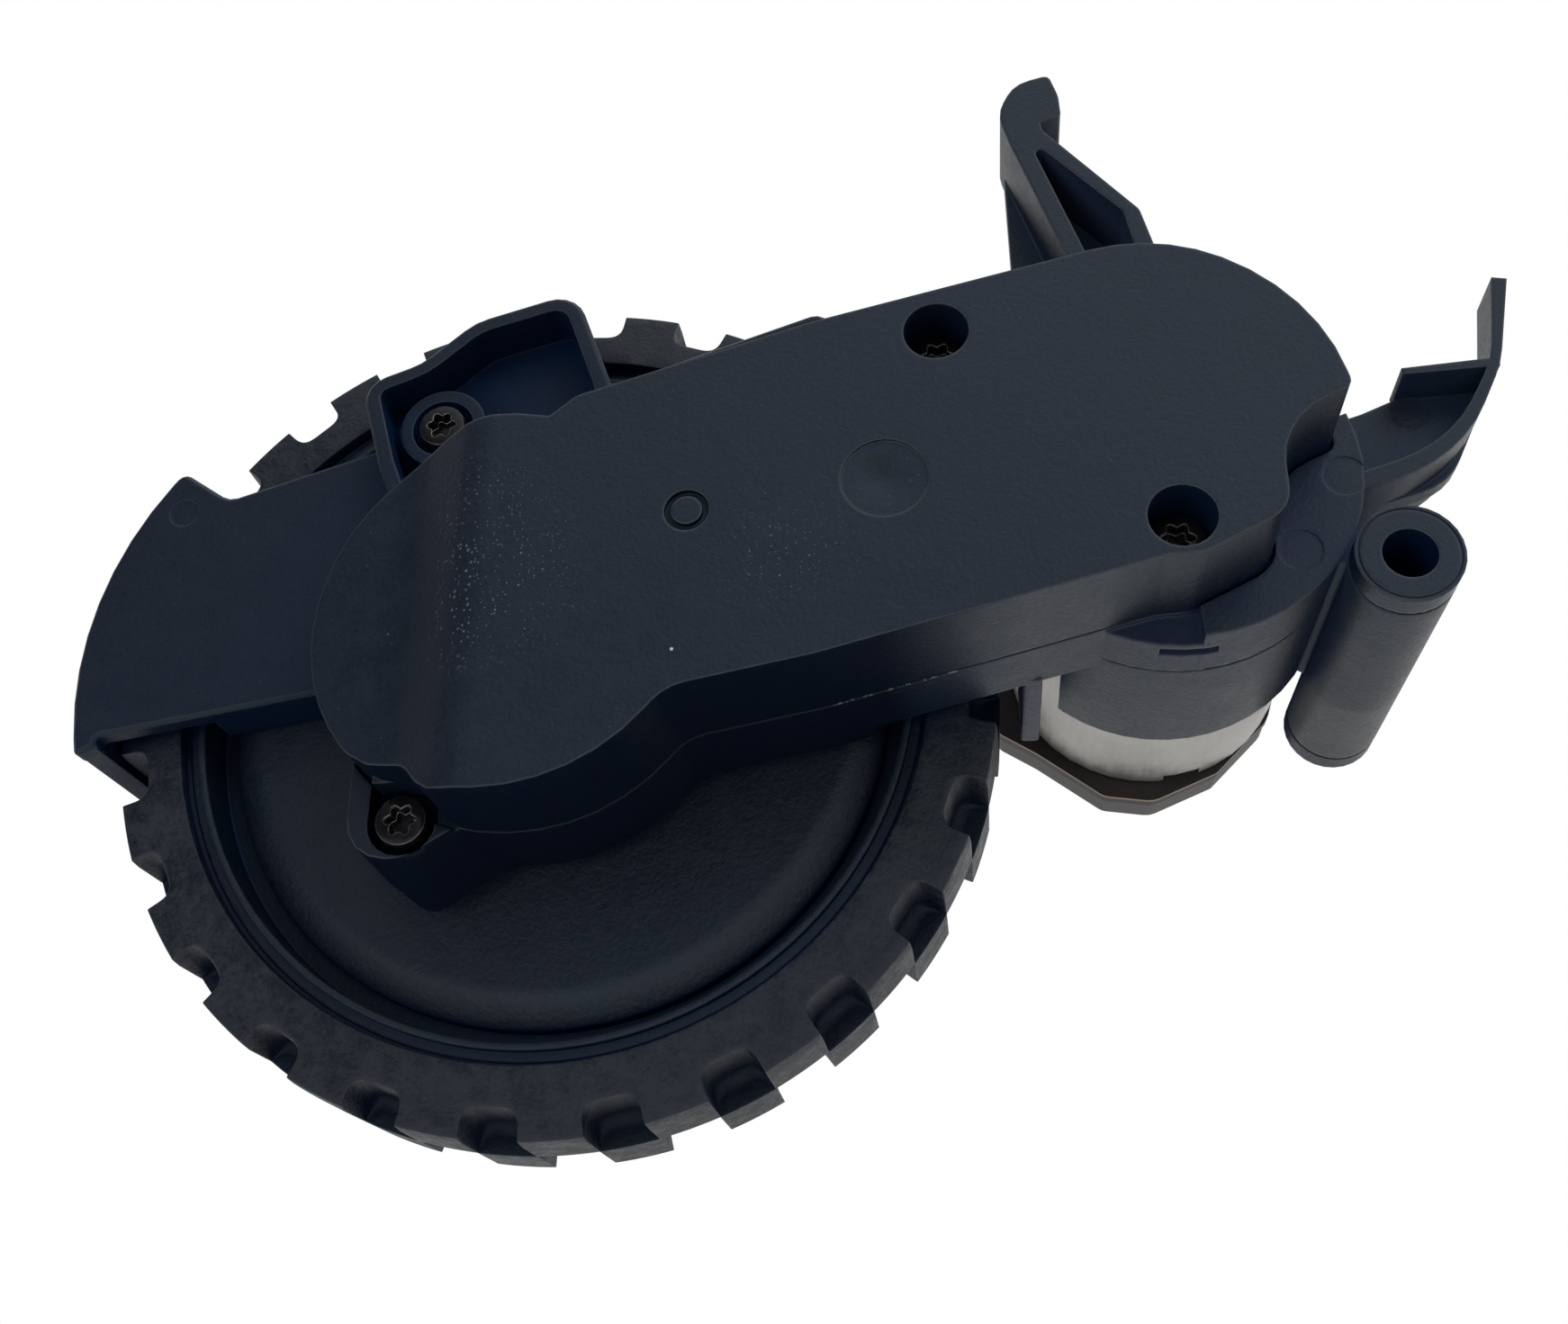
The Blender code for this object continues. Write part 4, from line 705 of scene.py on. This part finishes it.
# the hub: a disc with a sloping shoulder, a groove and two rings, ribbed behind
hubForm = {"front": [(0, 0.6), (5.2, 0.6), (5.2, 1.6), (23.4, 1.6), (23.9, 1.64), (24.3, 1.76), (24.8, 1.98),
                     (25.4, 2.28), (25.9, 2.54), (26.25, 2.74), (26.42, 2.90), (26.5, 3.12), (26.5, 4.0),
                     (27.9, 4.0), (27.9, 0.08), (27.95, -0.04), (28.06, -0.1), (28.36, -0.1), (28.46, -0.05),
                     (28.5, 0.06), (28.5, 0.5), (29.18, 0.5), (29.3, 0.6)],
           "rear": [(29.3, 11.0), (27.9, 11.0), (27.3, 5.6), (24.0, 5.6), (22.5, 3.8), (6.2, 3.8), (6.2, 9.2),
                    (0, 9.2)],
           "rib": [(5.7, 3.5), (22.4, 3.5), (24.0, 4.6), (28.3, 4.6), (28.3, 8.0), (5.7, 8.0)],
           "ribs": 8, "ribWidth": 1.2, "bores": [(3.464, 0.0, 7.0, 6), (1.3, 6.0, 12.0, 32)], "columns": 144}
profile = hubForm["front"] + hubForm["rear"]
hub = fromMesh("wheel_hub_turned", lambda bm: lathe(bm, 0, 0, profile, hubForm["columns"]))
for i in range(hubForm["ribs"]):
    joined(hub, slab("rib", hubForm["rib"], hubForm["ribWidth"], 360 * i / hubForm["ribs"]), "UNION")
for radius, start, end, sides in hubForm["bores"]:
    ends = fromWheel(0, start, 0), fromWheel(0, end, 0)
    joined(hub, fromMesh("bore", lambda bm: rod(bm, *ends, radius / 1000, sides)), "DIFFERENCE")
shaded(hub, 24.0)
settled(hub, "wheel_hub")
print("hub made")


class Recipe:
    # a Geometry Nodes tree with named inputs
    def __init__(self, name, inputs):
        self.tree = bpy.data.node_groups.new(name, "GeometryNodeTree")
        sides = self.tree.interface
        sides.new_socket("Geometry", in_out="INPUT", socket_type="NodeSocketGeometry")
        for label, kind in inputs.items():
            sides.new_socket(label, in_out="INPUT", socket_type="NodeSocket" + kind)
        sides.new_socket("Geometry", in_out="OUTPUT", socket_type="NodeSocketGeometry")
        self.given = self.tree.nodes.new("NodeGroupInput")
        self.end = self.tree.nodes.new("NodeGroupOutput")

    def input(self, label):
        return Wire(self.tree, self.given.outputs[label])

    def node(self, kind, settings=None, sockets=None, output=0):
        return addNode(self.tree, kind, settings, sockets, output)

    def sine(self, angle):
        return self.node("ShaderNodeMath", {"operation": "SINE"}, {0: angle})

    def cosine(self, angle):
        return self.node("ShaderNodeMath", {"operation": "COSINE"}, {0: angle})

    def close(self, mesh):
        # shared vertices become one, and the result is plain mesh with its finish
        merged = self.node("GeometryNodeMergeByDistance", {}, {"Geometry": mesh, "Distance": 2e-6})
        real = self.node("GeometryNodeRealizeInstances", {}, {0: merged})
        done = self.node("GeometryNodeSetMaterial", {}, {0: real, "Material": self.input("Material")})
        self.tree.links.new(done.socket, self.end.inputs[0])


def grown(name, start, recipe, values):
    # the tree's result as a plain mesh on an object at the origin
    piece = newPiece(name, start)
    maker = piece.modifiers.new("maker", "NODES")
    maker.node_group = recipe.tree
    for socket in recipe.tree.interface.items_tree:
        if socket.in_out == "INPUT" and socket.name in values:
            maker[socket.identifier] = values[socket.name]
    whole = evaluated(piece)
    piece.modifiers.remove(maker)
    piece.data = whole
    return piece


# the tyre: one pitch of its two rows, repeated around the axle; lengths in millimetres, angles in degrees
tread = {"radius": 35.0, "bore": 29.32, "width": tyreWidth, "blocks": 24, "depth": 2.35, "frontBlock": 3.85,
         "rearBlock": 3.72, "split": 5.8, "fillet": 1.1, "phase": 3.7, "bulge": 0.7, "seat": 29.6,
         "lip": 0.18, "crown": 0.15, "edge": 0.16, "corner": 4.0, "steps": 9, "slit": 0.001,
         "between": (1.0, 2.0, 3.0, 5.4, 6.2), "closest": 0.012, "bends": (15, 30, 45, 60, 75, 90)}


def notchHeight(angle, halfWidth):
    # how far the surface lies under the rim, at an angle from the notch's middle
    share = abs(angle) / halfWidth
    return tread["depth"] * (1 - share ** tread["corner"]) ** (1 / tread["corner"]) if share < 1 else 0.0


def sideDepth(radius):
    # the side leans out from the rim to the seat on the hub
    return -tread["bulge"] * (tread["radius"] - radius) / (tread["radius"] - tread["seat"])


def pitchAngles(half, frontNotch, rearNotch):
    # close together where the blocks' corners bend
    steps = [math.sin(math.radians(90 * i / tread["steps"])) for i in range(tread["steps"] + 1)]
    stops = [step ** (2 / tread["corner"]) for step in steps]
    angles = {0.0, half, *tread["between"], round(tread["frontBlock"] - 0.02, 5), round(rearNotch + 0.02, 5)}
    angles |= {round(half - frontNotch * stop, 5) for stop in stops}
    angles |= {round(rearNotch * stop, 5) for stop in stops}
    angles = sorted(angles | {-angle for angle in angles})
    spaced = [angles[0]]
    for angle in angles[1:]:
        if angle - spaced[-1] > tread["closest"]:
            spaced.append(angle)
    spaced[-1] = half
    return spaced


def pitchRing(front, rear):
    # the tyre's section as (radius, depth), for the two rows' heights there
    bore, seat, lip, edge = tread["bore"], tread["seat"], tread["lip"], tread["edge"]
    width, split, fillet = tread["width"], tread["split"], tread["fillet"]
    rim = front - tread["crown"]
    ring = [(bore, 1.6), (bore, 0.56), (seat, 0.52), (seat, sideDepth(seat) + lip),
            (seat + 0.05, sideDepth(seat) + 0.05), (seat + lip, sideDepth(seat + lip))]
    for share in (0.3, 0.6, 0.85):
        radius = seat + lip + (rim - edge - seat - lip) * share
        ring.append((radius, sideDepth(radius)))
    ring += [(rim - edge, sideDepth(rim - edge)), (rim - 0.3 * edge, sideDepth(rim) + 0.3 * edge),
             (rim, sideDepth(rim) + edge), (front - 0.02, 1.6), (front, split - fillet)]
    bends = [math.radians(bend) for bend in tread["bends"]]
    for bend in bends:
        lift = min(fillet * (1 - math.cos(bend)), max(0.0, rear - front))
        ring.append((front + lift, split - fillet + fillet * math.sin(bend)))
    for bend in bends[::-1]:
        lift = min(fillet * (1 - math.cos(bend)), max(0.0, front - rear))
        ring.append((rear + lift, split + tread["slit"] + fillet - fillet * math.sin(bend)))
    return ring + [(rear, split + fillet), (rear, width - edge), (rear - 0.3 * edge, width - 0.3 * edge),
                   (rear - edge, width), (seat + 1.0, width), (seat + 0.2, width), (seat, width - 0.2),
                   (bore, width - 0.4)]


def onePitch():
    half = 180.0 / tread["blocks"]
    frontNotch, rearNotch = half - tread["frontBlock"], half - tread["rearBlock"]
    rows = []
    for angle in pitchAngles(half, frontNotch, rearNotch):
        front = tread["radius"] - notchHeight(half - abs(angle), frontNotch)
        rear = tread["radius"] - notchHeight(angle, rearNotch)
        turn = math.radians(angle)
        rows.append([(radius * math.cos(turn), depth, radius * math.sin(turn))
                     for radius, depth in pitchRing(front, rear)])
    bm = bmesh.new()
    grid = [[bm.verts.new(Vector(point) / 1000) for point in row] for row in rows]
    count = len(grid[0])
    for near, far in zip(grid, grid[1:]):
        for i in range(count):
            bm.faces.new((near[i], far[i], far[(i + 1) % count], near[(i + 1) % count]))
    mesh = bpy.data.meshes.new("treadPitch")
    bm.to_mesh(mesh)
    bm.free()
    return mesh


ringed = Recipe("repeatedAround", {
    "Count": "Int", "Phase": "Float", "Centre": "Vector", "Material": "Material"})
spot = ringed.node("GeometryNodePoints", {}, {"Count": ringed.input("Count")})
number = ringed.node("GeometryNodeInputIndex")
angle = ringed.input("Phase") - number * math.tau / ringed.input("Count")
copies = ringed.node("GeometryNodeInstanceOnPoints", {}, {
    "Points": spot, "Instance": ringed.input("Geometry"),
    "Rotation": ringed.node("ShaderNodeCombineXYZ", {}, {"Y": angle})})
placed = ringed.node("GeometryNodeTransform", {}, {
    "Geometry": copies, "Translation": ringed.input("Centre")})
ringed.close(ringed.node("GeometryNodeRealizeInstances", {}, {0: placed}))
tyre = grown("tyre_tread", onePitch(), ringed, {
    "Count": tread["blocks"], "Phase": -math.radians(tread["phase"]), "Centre": fromWheel(0, 0, 0),
    "Material": tyreFinish})
shaded(tyre, 40.0)
settled(tyre, "tyre")
print("tyre made:", len(tyre.data.polygons), "faces")

# screws with a six-lobed recess, whose form is in shares of its radius
screwForm = {"Head Radius": 0.0019, "Head Height": 0.0016, "Round": 0.00035, "Recess Radius": 0.00118,
             "Recess Depth": 0.0011, "Shank Radius": 0.0010, "Lobes": 6, "Columns": 72}
recessForm = {"floor": 0.55, "foot": 0.94, "wall": 0.97, "rim": 1.05, "dip": 0.00010, "bevel": 0.00008,
              "lobe": 0.15}
turnedScrew = Recipe("lobedScrew", {
    "Head Radius": "Float", "Head Height": "Float", "Round": "Float", "Recess Radius": "Float",
    "Recess Depth": "Float", "Shank Radius": "Float", "Length": "Float", "Lobes": "Int", "Columns": "Int",
    "Turn": "Float", "Seat": "Vector", "Material": "Material"})
give = turnedScrew.input
head, recess, shank, bevel, length = (give(label) for label in (
    "Head Radius", "Recess Radius", "Shank Radius", "Round", "Length"))
top = give("Head Height") * -1.0
floorDepth = top + give("Recess Depth")
# each ring has its radius, how lobed it is and its depth
rings = [(0.0, 1.0, floorDepth - recessForm["dip"]), (recess * recessForm["floor"], 1.0, floorDepth),
         (recess * recessForm["foot"], 1.0, floorDepth),
         (recess * recessForm["wall"], 1.0, top + recessForm["bevel"]),
         (recess * recessForm["rim"], 1.0, top), (head - bevel, 0.0, top),
         (head - bevel * 0.3, 0.0, top + bevel * 0.3), (head, 0.0, top + bevel), (head, 0.0, 0.0),
         (shank, 0.0, 0.0), (shank, 0.0, length), (0.0, 0.0, length)]
sheet = turnedScrew.node("GeometryNodeMeshGrid", {}, {
    "Size X": 1.0, "Size Y": 1.0, "Vertices X": give("Columns") + 1, "Vertices Y": len(rings)})
number = turnedScrew.node("GeometryNodeInputIndex")
column = turnedScrew.node("ShaderNodeMath", {"operation": "FLOOR"}, {0: number / len(rings) + 0.0001})
row = number - column * len(rings)


def perRing(which):
    # the value of the ring that the vertex belongs to
    chooser = turnedScrew.node("GeometryNodeIndexSwitch", {"data_type": "FLOAT"})
    switch = chooser.socket.node
    while len(switch.index_switch_items) < len(rings):
        switch.index_switch_items.new()
    turnedScrew.tree.links.new(row.socket, switch.inputs["Index"])
    for i, ring in enumerate(rings):
        if isinstance(ring[which], Wire):
            turnedScrew.tree.links.new(ring[which].socket, switch.inputs[i + 1])
        else:
            switch.inputs[i + 1].default_value = ring[which]
    return chooser


angle = column * math.tau / give("Columns")
wave = turnedScrew.cosine(angle * give("Lobes")) - 1.0
radius = perRing(0) * (perRing(1) * recessForm["lobe"] * wave + 1.0)
point = turnedScrew.node("ShaderNodeCombineXYZ", {}, {
    "X": radius * turnedScrew.cosine(angle), "Y": perRing(2), "Z": radius * turnedScrew.sine(angle)})
shape = turnedScrew.node("GeometryNodeSetPosition", {}, {"Geometry": sheet, "Position": point})
turnedScrew.close(turnedScrew.node("GeometryNodeTransform", {}, {
    "Geometry": shape, "Rotation": turnedScrew.node("ShaderNodeCombineXYZ", {}, {"X": give("Turn")}),
    "Translation": give("Seat")}))

backwards = {"wheel_screw"}
for name in frame["nodes"]:
    if "screw" not in name:
        continue
    low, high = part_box(name)
    middle = (low + high) / 2
    height = screwForm["Head Height"]
    flipped = name in backwards
    seat = high.y - height if flipped else low.y + height
    piece = grown(name + "_lobed", bpy.data.meshes.new(name), turnedScrew, {
        **screwForm, "Length": high.y - low.y - height, "Turn": math.pi if flipped else 0.0,
        "Seat": (middle.x, seat, middle.z), "Material": screwFinish})
    shaded(piece, 30.0)
    settled(piece, name)
print("screws made")

# floor, backdrop and lamps; reflections see a room that is bright above and to the right
studio = {"floor": -0.20, "size": 3.0, "paint": 0.86, "floorGlow": 0.8, "floorGloss": 0.45, "ambient": 0.55,
          "bright": (1.0, 0.0, 1.0), "brightFrom": -0.10, "brightTo": 0.50, "dimmest": 0.09,
          "backdrop": 0.82, "backdropFrom": -0.05, "backdropTo": 0.50}


def mixedBy(factor, first, second):
    return addNode(tree, "ShaderNodeMixShader", {}, {0: factor, 1: first, 2: second})


def glow(kind, strength):
    return addNode(tree, kind, {}, {"Color": (1, 1, 1, 1), "Strength": strength})


def slopeOf(value, start, end, first, last):
    sockets = {0: value, 1: start, 2: end, 3: first, 4: last}
    return addNode(tree, "ShaderNodeMapRange", {"clamp": True}, sockets)


floorMesh = bpy.data.meshes.new("studioFloor")
corners = [(x * studio["size"], y * studio["size"], studio["floor"])
           for x, y in ((-1, -1), (1, -1), (1, 1), (-1, 1))]
floorMesh.from_pydata(corners, [], [(0, 1, 2, 3)])
floor = newPiece("studioFloor", floorMesh)
floorFinish = bpy.data.materials.new("studioFloor")
floorFinish.use_nodes = True
tree = floorFinish.node_tree
tree.nodes.clear()
seen = addNode(tree, "ShaderNodeLightPath")
shown = seen + seen.out("Is Glossy Ray") * studio["floorGloss"] + seen.out("Is Transmission Ray")
paint = addNode(tree, "ShaderNodeBsdfDiffuse", {}, {"Color": (*grey(studio["paint"]), 1.0)})
white = glow("ShaderNodeEmission", 1.0)
addNode(tree, "ShaderNodeOutputMaterial", {}, {0: mixedBy(shown * studio["floorGlow"], paint, white)})
floorMesh.materials.append(floorFinish)

world = bpy.data.worlds.new("studioWorld")
scene.world = world
world.use_nodes = True
tree = world.node_tree
tree.nodes.clear()
seen = addNode(tree, "ShaderNodeLightPath")
shown = seen + seen.out("Is Glossy Ray") + seen.out("Is Transmission Ray")
towards = addNode(tree, "ShaderNodeTexCoord").out("Generated")
slant = addNode(tree, "ShaderNodeVectorMath", {"operation": "DOT_PRODUCT"},
                {0: towards, 1: Vector(studio["bright"]).normalized()}, 1)
ceiling = slopeOf(slant, studio["brightFrom"], studio["brightTo"], studio["dimmest"], 1.0)
depth = addNode(tree, "ShaderNodeSeparateXYZ", {}, {0: towards}).out("Y")
backdrop = slopeOf(depth, studio["backdropFrom"], studio["backdropTo"], 0.0, studio["backdrop"])
room = addNode(tree, "ShaderNodeMath", {"operation": "MAXIMUM"}, {0: ceiling, 1: backdrop})
plain = mixedBy(shown, glow("ShaderNodeBackground", studio["ambient"]), glow("ShaderNodeBackground", 1.0))
whole = mixedBy(seen.out("Is Glossy Ray"), plain, glow("ShaderNodeBackground", room))
addNode(tree, "ShaderNodeOutputWorld", {}, {0: whole})

middle = (cadBox[0] + cadBox[1]) / 2
lamps = {"keyLamp": {"from": (0.30, -0.42, 0.35), "size": 0.30, "power": 2.6},
         "fillLamp": {"from": (-0.35, -0.40, -0.05), "size": 0.30, "power": 0.9}}
for name, lamp in lamps.items():
    light = bpy.data.lights.new(name, "AREA")
    light.size = lamp["size"]
    light.energy = lamp["power"]
    lightObject = bpy.data.objects.new(name, light)
    scene.collection.objects.link(lightObject)
    lightObject.visible_glossy = False  # the surroundings make the reflections
    lightObject.location = middle + Vector(lamp["from"])
    lightObject.rotation_euler = (-Vector(lamp["from"])).to_track_quat("-Z", "Y").to_euler()
print("studio made")
